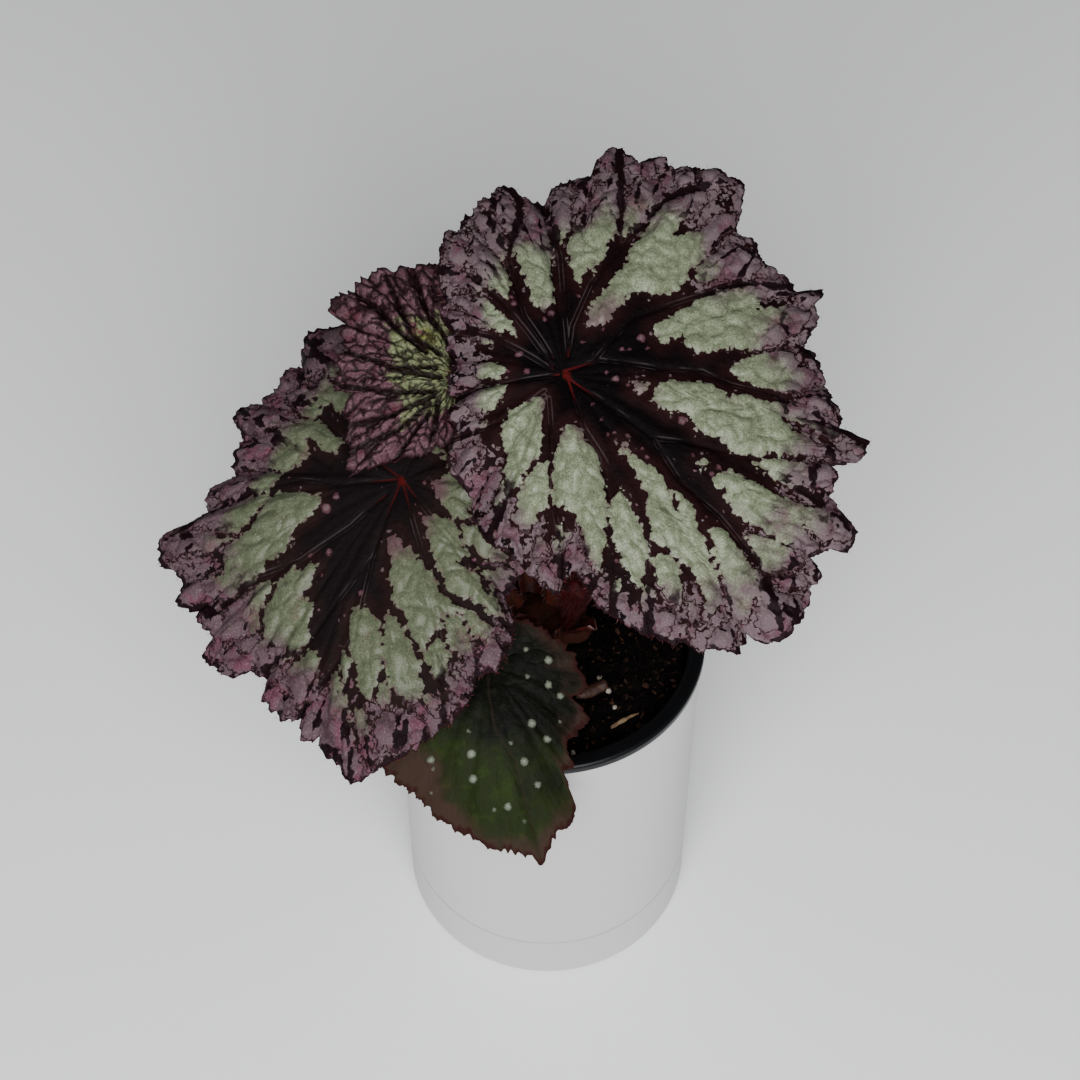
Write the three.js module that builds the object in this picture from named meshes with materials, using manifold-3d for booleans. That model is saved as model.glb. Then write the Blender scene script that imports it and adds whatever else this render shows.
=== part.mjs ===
// Potted rex begonia in a plain round pot.
// Millimetres, +Z up. The origin is the centre of the pot's underside, on the surface it stands on.
// -Y is the front, where the smallest leaf hangs over the rim. +X is to the right seen from there.

import * as THREE from 'three';
import { mergeVertices } from 'three/addons/utils/BufferGeometryUtils.js';
import Module from 'manifold-3d';

const wasm = await Module();
wasm.setup();

// Clearance between pieces that rest on or stand in each other
const GAP = 0.3;

// Outer pot: an upright round pot with one fine groove low down
const POT_HEIGHT = 153;
const POT_TOP_RADIUS = 53.7;
const POT_FOOT_RADIUS = 53.4;
const POT_WALL = 2.7;
const POT_FLOOR = 4;
const POT_FOOT_ROUND = 1.8;
const POT_RIM_ROUND = 0.8;
const GROOVE_HEIGHT = 24.8;
const GROOVE_WIDTH = 1.2;
const GROOVE_DEPTH = 0.5;
const ROUND_SIDES = 56;

// Grower's liner pot: it hangs in the outer pot by its rolled rim
const LINER_RIM_RADIUS = 55;
const LINER_RIM_TOP = 155.5;
const LINER_RIM_THICKNESS = 2.2;
const LINER_SKIRT_DROP = 1.5;
const LINER_SKIRT_WALL = 1;
const LINER_TOP_RADIUS = 50.5;
const LINER_FOOT_RADIUS = 40;
const LINER_WALL = 1.1;
const LINER_FOOT = 47;
const DRAIN_RADIUS = 4;
const DRAIN_CIRCLE = 26;
const DRAIN_COUNT = 6;

// Soil: it fills the liner to about a centimetre below the rim, with a lumpy top
const SOIL_LEVEL = 146.5;
const SOIL_LUMP = 1.1;
const SOIL_SIDES = 40;
const SOIL_RINGS = 7;

// Rootstock and the papery scales at the stems' feet
const ROOTSTOCK_LUMPS = [
  { at: [-1, 13, 147], size: [15, 8.5, 7] },
  { at: [-10, 17, 146.5], size: [9, 7.5, 6] },
  { at: [6, 8, 147], size: [10, 7, 7.5] },
];
const SCALES = [
  { at: [-8, 8, 149], turn: -120, lean: 24, height: 19, width: 10 },
  { at: [0, 4, 149.5], turn: -84, lean: 34, height: 21, width: 11 },
  { at: [10, 4, 149.5], turn: -48, lean: 30, height: 17, width: 9 },
  { at: [-14, 14, 149], turn: 178, lean: 42, height: 15, width: 9 },
  { at: [10, 13, 149.5], turn: 22, lean: 30, height: 16, width: 9 },
  { at: [-6, 21, 149.5], turn: 96, lean: 26, height: 16, width: 10 },
];
const SCALE_THICKNESS = 0.9;
const FALLEN_SCALE = { x: 20, y: -16, turn: 120, height: 13, width: 6 };

// Leaf blades: thickness, and the hollow where the stem joins
const BLADE_THICKNESS = 1.0;
const STEM_DIP = 2.5;
const STEM_DIP_RADIUS = 11;
const RING_SPREAD = 0.75;
const EDGE_BULGE = 0.05;

// A leaf is a fan of rays round the top of its stem. margin holds [bearing, reach] of its teeth and
// notches, in degrees anticlockwise from the leaf's own +X and in mm. The bearings run once round
// from one side of the basal slit to the other. Where they make a full turn, as on the two large leaves,
// the lobes have grown together and there is no slit. veins are the bearings of the main veins,
// between which the blade puffs up. droop holds [count, depth, bearing] of the waves of the blade.
const LARGE_LEAF = {
  name: 'leaf_large',
  attach: [5.5, 32, 260],
  facing: [0.12, -0.3, 0.95],
  droop: [[0, 12, 0], [1, 4, 215], [5, 2, 20]],
  puff: 3,
  rings: 8,
  raySpacing: 5,
  margin: [
    [-178, 37.5], [-170.5, 36], [-161, 39], [-152.5, 38.5], [-146, 43.5], [-138, 46.5],
    [-131.5, 46.5], [-125, 47], [-122.5, 51.5], [-117, 55.5], [-111, 59], [-107, 59.5],
    [-98.5, 65.5], [-93.5, 69.5], [-89.5, 73], [-88.5, 67], [-85, 64], [-82, 71],
    [-80.5, 76.5], [-77, 80], [-74.5, 83.5], [-71.5, 87.5], [-69, 89.5], [-66.5, 94],
    [-63.5, 96], [-62.5, 99.5], [-59.5, 100.5], [-56, 106], [-52.5, 102.5], [-51.5, 106.5],
    [-49, 110], [-44, 109.5], [-39.5, 107], [-38.5, 105], [-35, 105], [-34, 99],
    [-31.5, 101], [-29.5, 108], [-25, 107.5], [-21.5, 95], [-17.5, 95], [-15.5, 93],
    [-13, 100], [-8, 103.5], [-6.5, 93.5], [-2, 91], [3, 87.5], [5, 89], [7, 86.5],
    [8.5, 87.5], [13, 83], [15, 86], [19, 91.5], [21.5, 91.5], [24.5, 97.5], [26, 88],
    [32, 84.5], [35.5, 81.5], [41.5, 84.5], [44.5, 80.5], [46, 84], [48.5, 90.5],
    [51.5, 97], [54.5, 94.5], [58.5, 94], [60, 90.5], [63, 90], [65, 86.5],
    [67.5, 90], [70, 89.5], [73, 84], [75.5, 86.5], [78.5, 89.5], [81, 86.5],
    [82.5, 83.5], [83.5, 75.5], [87.5, 74], [93.5, 71], [95.5, 65], [100.5, 66.5],
    [103.5, 71], [106, 74.5], [111, 70], [114.5, 69.5], [117.5, 67], [120.5, 67],
    [125, 62], [126.5, 65], [131.5, 61.5], [134, 60], [138, 56.5], [141.5, 53],
    [145, 47.5], [150.5, 46], [154, 41], [160, 40], [168, 36], [182, 37.5],
  ],
  veins: [4, 24, 52, 68, 78.5, 96, 106.5, 118, 140, 160, 186, 212, 238, 263, 292, 308, 320, 335, 351.5],
};
const LEFT_LEAF = {
  name: 'leaf_left',
  attach: [-49, 18, 222],
  facing: [-0.22, -0.3, 0.93],
  droop: [[0, 12, 0], [1, 6, 200], [4, 2, 30]],
  puff: 2.2,
  rings: 7,
  raySpacing: 8,
  margin: [
    [82, 30], [86, 50], [96, 60], [108, 65],
    [120, 72.5], [123.5, 69.5], [128, 63.5], [132, 67.5], [138, 65], [140.5, 67],
    [144.5, 65.5], [148.5, 71.5], [152.5, 71.5], [155, 67], [157, 65], [160.5, 67],
    [166, 66.5], [168.5, 64.5], [172.5, 72], [176, 74], [179, 73], [181, 78.5],
    [183, 89.5], [184.5, 91.5], [189.5, 93], [192.5, 87.5], [196, 86], [198, 90.5],
    [201.5, 89], [203, 85], [205, 86], [210.5, 84], [212.5, 90.5], [216, 90],
    [222, 87], [224, 81.5], [229, 79.5], [231, 86.5], [238, 88.5], [242, 85.5],
    [244, 91.5], [248, 90], [250, 94.5], [253.5, 96], [257, 101.5], [260.5, 99],
    [262.5, 95.5], [267, 92], [272, 87.5], [276.5, 84], [283, 78], [287, 70],
    [293, 71.5], [298.5, 67], [303.5, 62.5], [307.5, 52], [316.5, 51.5],
    [330, 50], [344, 48], [354, 43], [364, 38], [374, 33], [384, 31], [394, 29], [404, 27],
    [414, 26], [424, 25], [434, 26], [442, 30],
  ],
  veins: [20, 68, 90, 112, 135, 165, 187, 200, 215, 236, 246, 256, 271, 291, 316, 335, 350],
};
const YOUNG_LEAF = {
  name: 'leaf_young',
  attach: [-30.5, 42.5, 246],
  facing: [-0.06, -0.3, 0.95],
  droop: [[0, 7, 0], [5, 1.5, 0]],
  puff: 4,
  rings: 7,
  raySpacing: 7,
  margin: [
    [-66, 22], [-54, 26], [-35, 26], [-15, 28], [0, 30], [20, 34], [40, 37], [60, 39],
    [80, 41], [98.5, 41.5], [102.5, 45], [108, 43.5], [111.5, 45], [116.5, 47],
    [122.5, 49], [127, 50], [132, 51], [135.5, 50.5], [143.5, 53], [147.5, 52.5],
    [149, 45], [154.5, 44], [161, 40], [176, 42], [184, 40], [186, 35],
    [193.5, 40], [202.5, 39], [206.5, 42], [214, 42.5], [217.5, 48], [222, 47.5],
    [226.5, 40], [230, 34.5], [242.5, 30], [251.5, 24.5], [262, 22], [275, 21], [286, 20],
  ],
  veins: [0, 30, 60, 82, 103, 112, 119, 127, 135, 148, 155, 177, 194, 207, 219, 229, 244, 330],
};
const FRONT_LEAF = {
  name: 'leaf_front',
  attach: [-20, -33, 186],
  facing: [0, -0.4, 0.917],
  droop: [[0, 8, 0], [1, 8, 250]],
  puff: 1.5,
  rings: 6,
  raySpacing: 12,
  margin: [
    [99, 16], [106, 22], [118, 28], [135, 34], [158, 41], [182, 46], [206, 49],
    [221.5, 48.5], [228.5, 48], [236, 48.5], [239.5, 48], [246, 50], [256, 53.5], [262, 55],
    [267, 57], [271, 59.5], [275.5, 60], [279.5, 62.5], [282.5, 63.5], [285, 67],
    [288.5, 63], [293.5, 58], [298, 58], [303, 53.5], [304.5, 48], [306, 43.5],
    [312, 42.5], [314, 37.5], [321, 36], [334, 37], [340.5, 30.5], [350.5, 33.5],
    [361, 29], [370.5, 29], [372.5, 27], [381, 26], [384, 23.5], [393.5, 22.5],
    [405, 20], [420, 19], [435, 18], [447, 16], [453, 14],
  ],
  veins: [30, 60, 140, 180, 210, 243, 261, 274, 286, 302, 309, 328, 344],
};
const LEAVES = [LARGE_LEAF, LEFT_LEAF, YOUNG_LEAF, FRONT_LEAF];

// Leaf stems: foot in the rootstock, the way each leaves it, and how far it keeps each direction
const STEM_SIDES = 10;
const STEM_STEPS = 10;
const STEMS = [
  { name: 'stem_large', leaf: LARGE_LEAF, foot: [2, 15, 146], start: [0, 0.1, 1], radius: 3.2, ease: [45, 40] },
  { name: 'stem_left', leaf: LEFT_LEAF, foot: [-9, 15, 146], start: [-0.35, 0, 1], radius: 2.8, ease: [30, 26] },
  { name: 'stem_young', leaf: YOUNG_LEAF, foot: [-6, 22, 146], start: [-0.1, 0.25, 1], radius: 2, ease: [35, 30] },
  { name: 'stem_front', leaf: FRONT_LEAF, foot: [-5, 6, 146], start: [-0.3, -0.2, 1], radius: 1.8, ease: [12, 20] },
];

// Furled young leaf: a hairy spindle on a short stem
const FURLED = { foot: [6, 6, 145], lean: [0.07, -0.22, 0.97], stemRadius: 1.7, bladeRadius: 5.2 };
const FURLED_PROFILE = [
  [0, 0], [1, 0], [1, 0.46], [1.5, 0.54], [2.3, 0.66], [3.0, 0.78], [2.9, 0.9], [1.8, 0.98], [0, 1],
];
const FURLED_HEIGHT = 50;
const FURLED_SIDES = 14;
const FURLED_CREASE = 0.16;

// Colours
const COLOURS = {
  pot: [0xdcdcd8, 0.4],
  liner: [0x17181b, 0.5],
  soil: [0x2b1a14, 0.95],
  rootstock: [0x5c2416, 0.7],
  stem: [0x7a2c22, 0.6],
  leaf: [0x8f8f84, 0.5],
  youngLeaf: [0x7d5a52, 0.5],
  frontLeaf: [0x35452c, 0.5],
  furled: [0x6a1718, 0.7],
  fallen: [0x9a5a26, 0.8],
};

const radians = THREE.MathUtils.degToRad;
const plant = new THREE.Group();

function piece(name, geometry, colour) {
  const [color, roughness] = colour;
  const material = new THREE.MeshStandardMaterial({ color, roughness, metalness: 0 });
  geometry.computeVertexNormals();
  const mesh = new THREE.Mesh(geometry, material);
  mesh.name = name;
  plant.add(mesh);
  return mesh;
}

function bodyFrom(points, triangles) {
  const geometry = new THREE.BufferGeometry();
  geometry.setAttribute('position', new THREE.Float32BufferAttribute(points.flat(), 3));
  geometry.setIndex(triangles.flat());
  return geometry;
}

// Booleans work on a closed mesh whose shared corners are merged
function toSolid(geometry) {
  const bare = geometry.clone();
  bare.deleteAttribute('normal');
  bare.deleteAttribute('uv');
  const merged = mergeVertices(bare, 1e-4);
  return new wasm.Manifold(new wasm.Mesh({
    numProp: 3,
    vertProperties: new Float32Array(merged.attributes.position.array),
    triVerts: new Uint32Array(merged.index.array),
  }));
}

// The largest loose body of a cut solid, as a geometry
function toGeometry(solid) {
  const bodies = solid.decompose();
  bodies.sort((a, b) => b.volume() - a.volume());
  const mesh = bodies[0].getMesh();
  const geometry = new THREE.BufferGeometry();
  geometry.setAttribute('position', new THREE.BufferAttribute(new Float32Array(mesh.vertProperties), 3));
  geometry.setIndex(new THREE.BufferAttribute(new Uint32Array(mesh.triVerts), 1));
  return geometry;
}

function turned(profile, sides) {
  const lathe = new THREE.LatheGeometry(profile.map(([r, z]) => new THREE.Vector2(r, z)), sides);
  lathe.rotateX(Math.PI / 2);
  return lathe;
}

// Outer pot

function potGeometry() {
  const grooveTop = GROOVE_HEIGHT + GROOVE_WIDTH / 2;
  const grooveFoot = GROOVE_HEIGHT - GROOVE_WIDTH / 2;
  const innerTop = POT_TOP_RADIUS - POT_WALL;
  const innerFoot = POT_FOOT_RADIUS - POT_WALL;
  return turned([
    [0, 0],
    [POT_FOOT_RADIUS - POT_FOOT_ROUND, 0],
    [POT_FOOT_RADIUS - POT_FOOT_ROUND * 0.3, POT_FOOT_ROUND * 0.3],
    [POT_FOOT_RADIUS, POT_FOOT_ROUND],
    [POT_FOOT_RADIUS, grooveFoot],
    [POT_FOOT_RADIUS - GROOVE_DEPTH, GROOVE_HEIGHT],
    [POT_FOOT_RADIUS, grooveTop],
    [POT_TOP_RADIUS, POT_HEIGHT - POT_RIM_ROUND],
    [POT_TOP_RADIUS - POT_RIM_ROUND, POT_HEIGHT],
    [innerTop, POT_HEIGHT],
    [innerFoot, POT_FLOOR + POT_WALL],
    [innerFoot - POT_WALL, POT_FLOOR],
    [0, POT_FLOOR],
  ], ROUND_SIDES);
}

// Grower's liner pot

function linerInnerRadius(z) {
  const rise = (z - LINER_FOOT) / (LINER_RIM_TOP - LINER_FOOT);
  return THREE.MathUtils.lerp(LINER_FOOT_RADIUS, LINER_TOP_RADIUS, rise) - LINER_WALL;
}

function linerGeometry() {
  const rimFoot = LINER_RIM_TOP - LINER_RIM_THICKNESS;
  const skirtFoot = rimFoot - LINER_SKIRT_DROP;
  const skirtInner = LINER_RIM_RADIUS - LINER_SKIRT_WALL;
  const edge = LINER_RIM_THICKNESS * 0.35;
  const floorTop = LINER_FOOT + LINER_WALL;
  let solid = toSolid(turned([
    [0, LINER_FOOT],
    [LINER_FOOT_RADIUS - LINER_WALL, LINER_FOOT],
    [LINER_FOOT_RADIUS, floorTop],
    [linerInnerRadius(rimFoot) + LINER_WALL, rimFoot],
    [skirtInner, rimFoot],
    [skirtInner, skirtFoot],
    [LINER_RIM_RADIUS, skirtFoot],
    [LINER_RIM_RADIUS, LINER_RIM_TOP - edge],
    [LINER_RIM_RADIUS - edge, LINER_RIM_TOP],
    [linerInnerRadius(LINER_RIM_TOP) + edge, LINER_RIM_TOP],
    [linerInnerRadius(LINER_RIM_TOP), LINER_RIM_TOP - edge],
    [linerInnerRadius(floorTop), floorTop],
    [0, floorTop],
  ], ROUND_SIDES));
  for (let i = 0; i < DRAIN_COUNT; i++) {
    const hole = new THREE.CylinderGeometry(DRAIN_RADIUS, DRAIN_RADIUS, 4 * LINER_WALL, 10);
    const angle = (i / DRAIN_COUNT) * 2 * Math.PI;
    hole.rotateX(Math.PI / 2);
    hole.translate(DRAIN_CIRCLE * Math.cos(angle), DRAIN_CIRCLE * Math.sin(angle), LINER_FOOT);
    solid = solid.subtract(toSolid(hole));
  }
  return toGeometry(solid);
}

// Leaf stems

function stemTop(leaf, below) {
  const facing = new THREE.Vector3(...leaf.facing).normalize();
  const drop = STEM_DIP + BLADE_THICKNESS + below;
  return new THREE.Vector3(...leaf.attach).addScaledVector(facing, -drop);
}

// margin widens the stem all round and lengthens its foot, to cut the hole that it stands in
function stemGeometry(stem, margin) {
  const start = new THREE.Vector3(...stem.start).normalize();
  const facing = new THREE.Vector3(...stem.leaf.facing).normalize();
  const foot = new THREE.Vector3(...stem.foot);
  const top = stemTop(stem.leaf, GAP * 1.5);
  const path = new THREE.CurvePath();
  path.add(new THREE.CubicBezierCurve3(
    foot.clone().addScaledVector(start, -margin),
    foot.clone().addScaledVector(start, stem.ease[0]),
    top.clone().addScaledVector(facing, -stem.ease[1]),
    top,
  ));
  const section = new THREE.Shape();
  for (let i = 0; i < STEM_SIDES; i++) {
    const angle = (i / STEM_SIDES) * 2 * Math.PI;
    const x = (stem.radius + margin) * Math.cos(angle);
    const y = (stem.radius + margin) * Math.sin(angle);
    if (i === 0) section.moveTo(x, y);
    else section.lineTo(x, y);
  }
  return new THREE.ExtrudeGeometry(section, { steps: STEM_STEPS, extrudePath: path.curves[0] });
}

// Furled young leaf

function furledGeometry(margin) {
  const profile = FURLED_PROFILE.map(([width, height]) => [
    width === 0 ? 0 : width * FURLED.stemRadius + margin,
    height * FURLED_HEIGHT - (height === 0 ? margin : 0),
  ]);
  const geometry = turned(profile, FURLED_SIDES);
  const place = geometry.attributes.position;
  for (let i = 0; i < place.count; i++) {
    const height = place.getZ(i) / FURLED_HEIGHT;
    const swell = Math.max(0, Math.sin(Math.PI * Math.min(Math.max((height - 0.5) * 2, 0), 1)));
    const crease = 1 - FURLED_CREASE * swell * Math.cos(3 * Math.atan2(place.getY(i), place.getX(i)));
    place.setX(i, place.getX(i) * crease);
    place.setY(i, place.getY(i) * crease * (1 - 0.25 * swell));
  }
  const upright = new THREE.Vector3(0, 0, 1);
  const lean = new THREE.Vector3(...FURLED.lean).normalize();
  geometry.applyQuaternion(new THREE.Quaternion().setFromUnitVectors(upright, lean));
  geometry.translate(...FURLED.foot);
  return geometry;
}

// Papery scales: a pointed, cupped blade standing on its broad foot

function scaleGeometry(height, width) {
  const rows = 5;
  const columns = 2;
  const points = [];
  const triangles = [];
  const at = (face, row, column) => (face * (rows + 1) + row) * (columns + 1) + column;
  for (const face of [0, 1]) {
    for (let row = 0; row <= rows; row++) {
      const up = row / rows;
      const half = (width / 2) * (0.75 + 0.5 * up) * Math.sqrt(1 - 0.96 * up * up);
      for (let column = 0; column <= columns; column++) {
        const across = (column / columns) * 2 - 1;
        const cup = 0.3 * width * across * across - 0.12 * height * up * up;
        points.push([across * half, cup + face * SCALE_THICKNESS, up * height]);
      }
    }
  }
  const quad = (a, b, c, d) => triangles.push([a, b, c], [a, c, d]);
  for (let row = 0; row < rows; row++) {
    for (let column = 0; column < columns; column++) {
      quad(at(0, row, column), at(0, row, column + 1), at(0, row + 1, column + 1), at(0, row + 1, column));
      quad(at(1, row, column), at(1, row + 1, column), at(1, row + 1, column + 1), at(1, row, column + 1));
    }
    quad(at(0, row, 0), at(0, row + 1, 0), at(1, row + 1, 0), at(1, row, 0));
    quad(at(0, row, columns), at(1, row, columns), at(1, row + 1, columns), at(0, row + 1, columns));
  }
  for (let column = 0; column < columns; column++) {
    quad(at(0, 0, column), at(1, 0, column), at(1, 0, column + 1), at(0, 0, column + 1));
    quad(at(0, rows, column), at(0, rows, column + 1), at(1, rows, column + 1), at(1, rows, column));
  }
  return bodyFrom(points, triangles);
}

function placedScale(scale) {
  const geometry = scaleGeometry(scale.height, scale.width);
  geometry.rotateX(radians(scale.lean));
  geometry.rotateZ(radians(scale.turn + 90));
  geometry.translate(...scale.at);
  return geometry;
}

// Rootstock with its scales, with a plain hole for each stem

function rootstockLump(lump, margin) {
  const ball = new THREE.SphereGeometry(1, 12, 7);
  ball.scale(lump.size[0] + margin, lump.size[1] + margin, lump.size[2] + margin);
  ball.translate(...lump.at);
  return toSolid(ball);
}

function rootstockGeometry() {
  let solid = rootstockLump(ROOTSTOCK_LUMPS[0], 0);
  for (const lump of ROOTSTOCK_LUMPS.slice(1)) solid = solid.add(rootstockLump(lump, 0));
  for (const scale of SCALES) solid = solid.add(toSolid(placedScale(scale)));
  for (const stem of STEMS) solid = solid.subtract(toSolid(stemGeometry(stem, GAP)));
  solid = solid.subtract(toSolid(furledGeometry(GAP)));
  return toGeometry(solid);
}

// Soil with a lumpy top, and plain holes for what stands in it

function soilHeight(x, y) {
  const broad = Math.sin(0.17 * x + 0.6) * Math.cos(0.14 * y - 0.4);
  const fine = Math.sin(0.43 * x - 0.31 * y) * Math.cos(0.29 * x + 0.47 * y + 1.1);
  return SOIL_LEVEL + SOIL_LUMP * (0.9 * broad + 0.7 * fine);
}

function soilGeometry() {
  const points = [[0, 0, soilHeight(0, 0)]];
  const triangles = [];
  const floor = LINER_FOOT + LINER_WALL + GAP;
  const ring = (radius, heightAt) => {
    for (let i = 0; i < SOIL_SIDES; i++) {
      const angle = (i / SOIL_SIDES) * 2 * Math.PI;
      const x = radius * Math.cos(angle);
      const y = radius * Math.sin(angle);
      points.push([x, y, heightAt(x, y)]);
    }
  };
  const rim = linerInnerRadius(SOIL_LEVEL - 2 * SOIL_LUMP) - GAP;
  for (let k = 1; k <= SOIL_RINGS; k++) ring(rim * (k / SOIL_RINGS), soilHeight);
  ring(linerInnerRadius(floor) - GAP, () => floor);
  const centreBelow = points.length;
  points.push([0, 0, floor]);
  const at = (k, i) => 1 + k * SOIL_SIDES + (i % SOIL_SIDES);
  for (let i = 0; i < SOIL_SIDES; i++) {
    triangles.push([0, at(0, i), at(0, i + 1)]);
    for (let k = 0; k < SOIL_RINGS; k++) {
      triangles.push([at(k, i), at(k + 1, i), at(k + 1, i + 1)]);
      triangles.push([at(k, i), at(k + 1, i + 1), at(k, i + 1)]);
    }
    triangles.push([centreBelow, at(SOIL_RINGS, i + 1), at(SOIL_RINGS, i)]);
  }
  let solid = toSolid(bodyFrom(points, triangles));
  for (const lump of ROOTSTOCK_LUMPS) solid = solid.subtract(rootstockLump(lump, GAP));
  for (const stem of STEMS) solid = solid.subtract(toSolid(stemGeometry(stem, GAP)));
  solid = solid.subtract(toSolid(furledGeometry(GAP)));
  return toGeometry(solid);
}

// A scale that has dropped on the soil rests on its highest lumps

function fallenScaleGeometry() {
  const geometry = scaleGeometry(FALLEN_SCALE.height, FALLEN_SCALE.width);
  geometry.rotateX(radians(-90));
  geometry.rotateZ(radians(FALLEN_SCALE.turn));
  geometry.translate(FALLEN_SCALE.x, FALLEN_SCALE.y, 0);
  const place = geometry.attributes.position;
  let lift = -Infinity;
  for (let i = 0; i < place.count; i++) {
    lift = Math.max(lift, soilHeight(place.getX(i), place.getY(i)) - place.getZ(i));
  }
  geometry.translate(0, 0, lift + GAP);
  return geometry;
}

// Leaf blades

// 0 over a main vein and highest half-way between two
function puffBetween(veins, bearing) {
  const turn = ((bearing % 360) + 360) % 360;
  const after = veins.findIndex((vein) => vein > turn);
  const last = veins[veins.length - 1];
  const low = after > 0 ? veins[after - 1] : last - (after === 0 ? 360 : 0);
  const high = after >= 0 ? veins[after] : veins[0] + 360;
  return Math.sin((Math.PI * (turn - low)) / (high - low)) ** 0.8 - 0.35;
}

function marginRise(leaf, bearing) {
  let rise = 0;
  for (const [count, depth, phase] of leaf.droop) {
    rise -= depth * Math.cos(radians(count * (bearing - phase)));
  }
  return rise;
}

// Height of the upper face over the leaf's plane, at a share of the reach along a bearing
function bladeHeight(leaf, share, bearing, reach) {
  const hollow = STEM_DIP * Math.exp(-(((share * reach) / STEM_DIP_RADIUS) ** 2));
  const puff = leaf.puff * puffBetween(leaf.veins, bearing) * share ** 1.2 * (1 - 0.3 * share);
  return marginRise(leaf, bearing) * share * share - hollow + puff;
}

function isFullTurn(leaf) {
  return leaf.margin[leaf.margin.length - 1][0] - leaf.margin[0][0] === 360;
}

// One ray for each margin point, and more where two lie far apart
function marginRays(leaf) {
  const rays = [];
  for (let i = 0; i < leaf.margin.length - 1; i++) {
    const [fromBearing, fromReach] = leaf.margin[i];
    const [toBearing, toReach] = leaf.margin[i + 1];
    const count = Math.ceil((toBearing - fromBearing) / leaf.raySpacing);
    for (let k = 0; k < count; k++) {
      const t = k / count;
      const arc = radians(toBearing - fromBearing) * fromReach;
      rays.push([
        THREE.MathUtils.lerp(fromBearing, toBearing, t),
        THREE.MathUtils.lerp(fromReach, toReach, t) + EDGE_BULGE * arc * Math.sin(Math.PI * t),
      ]);
    }
  }
  if (!isFullTurn(leaf)) rays.push(leaf.margin[leaf.margin.length - 1]);
  return rays;
}

// Both faces share one pattern of triangles, so the blade keeps its thickness in every wave
function bladeGeometry(leaf) {
  const rays = marginRays(leaf);
  const rings = leaf.rings;
  const points = [];
  const triangles = [];
  for (const drop of [0, BLADE_THICKNESS]) {
    points.push([0, 0, -STEM_DIP - drop]);
    for (const [bearing, reach] of rays) {
      for (let ring = 1; ring <= rings; ring++) {
        const share = (ring / rings) ** RING_SPREAD;
        const across = share * reach;
        points.push([
          across * Math.cos(radians(bearing)),
          across * Math.sin(radians(bearing)),
          bladeHeight(leaf, share, bearing, reach) - drop,
        ]);
      }
    }
  }
  const below = 1 + rays.length * rings;
  const at = (i, k) => 1 + (i % rays.length) * rings + k;
  const face = (a, b, c) => triangles.push([a, b, c], [a + below, c + below, b + below]);
  const wall = (a, b) => triangles.push([a, a + below, b + below], [a, b + below, b]);
  const last = rays.length - 1;
  const sectors = isFullTurn(leaf) ? rays.length : last;
  for (let i = 0; i < sectors; i++) {
    face(0, at(i, 0), at(i + 1, 0));
    for (let k = 0; k < rings - 1; k++) {
      face(at(i, k), at(i, k + 1), at(i + 1, k + 1));
      face(at(i, k), at(i + 1, k + 1), at(i + 1, k));
    }
    wall(at(i, rings - 1), at(i + 1, rings - 1));
  }
  if (isFullTurn(leaf)) return bodyFrom(points, triangles);
  wall(0, at(0, 0));
  wall(at(last, 0), 0);
  for (let k = 0; k < rings - 1; k++) {
    wall(at(0, k), at(0, k + 1));
    wall(at(last, k + 1), at(last, k));
  }
  return bodyFrom(points, triangles);
}

// The whole

piece('pot', potGeometry(), COLOURS.pot);
piece('liner', linerGeometry(), COLOURS.liner);
piece('soil', soilGeometry(), COLOURS.soil);
piece('rootstock', rootstockGeometry(), COLOURS.rootstock);
piece('furled_leaf', furledGeometry(0), COLOURS.furled);
piece('fallen_scale', fallenScaleGeometry(), COLOURS.fallen);
for (const stem of STEMS) piece(stem.name, stemGeometry(stem, 0), COLOURS.stem);
const leafColours = [COLOURS.leaf, COLOURS.leaf, COLOURS.youngLeaf, COLOURS.frontLeaf];
LEAVES.forEach((leaf, i) => {
  const mesh = piece(leaf.name, bladeGeometry(leaf), leafColours[i]);
  const facing = new THREE.Vector3(...leaf.facing).normalize();
  mesh.position.set(...leaf.attach);
  mesh.quaternion.setFromUnitVectors(new THREE.Vector3(0, 0, 1), facing);
});

export default plant;
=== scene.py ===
# Looks of the potted rex begonia: fine leaves, hairy stems, soil and pots over the solids of the part.
# Tables are in millimetres in the part's frame, +Z up, with -Y towards the front. MM makes them metres.

import math

import bpy
import numpy as np
from mathutils import Matrix
from mathutils import Vector
from mathutils import noise


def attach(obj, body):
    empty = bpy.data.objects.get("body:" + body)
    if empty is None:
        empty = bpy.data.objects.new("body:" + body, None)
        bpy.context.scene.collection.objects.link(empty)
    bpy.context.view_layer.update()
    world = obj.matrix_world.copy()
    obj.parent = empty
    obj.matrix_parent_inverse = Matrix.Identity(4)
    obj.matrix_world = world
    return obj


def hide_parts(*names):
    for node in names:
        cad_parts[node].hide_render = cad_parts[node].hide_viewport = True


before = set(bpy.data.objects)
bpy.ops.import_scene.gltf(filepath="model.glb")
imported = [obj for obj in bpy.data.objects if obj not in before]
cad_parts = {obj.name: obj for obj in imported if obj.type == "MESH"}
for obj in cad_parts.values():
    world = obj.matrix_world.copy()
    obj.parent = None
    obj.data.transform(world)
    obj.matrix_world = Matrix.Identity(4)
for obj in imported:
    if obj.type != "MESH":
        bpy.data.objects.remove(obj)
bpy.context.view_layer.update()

# noise_vector draws from this seed, and without it from the time of day
noise.seed_set(1)

MM = 0.001
GAP = 0.3

# Leaf blades: thickness in the middle and at the margin, and the hollow where the stem joins
BLADE_THICKNESS = 1.0
MARGIN_THINNING = 0.5
STEM_DIP = 2.5
STEM_DIP_RADIUS = 11
EDGE_BULGE = 0.05

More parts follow.
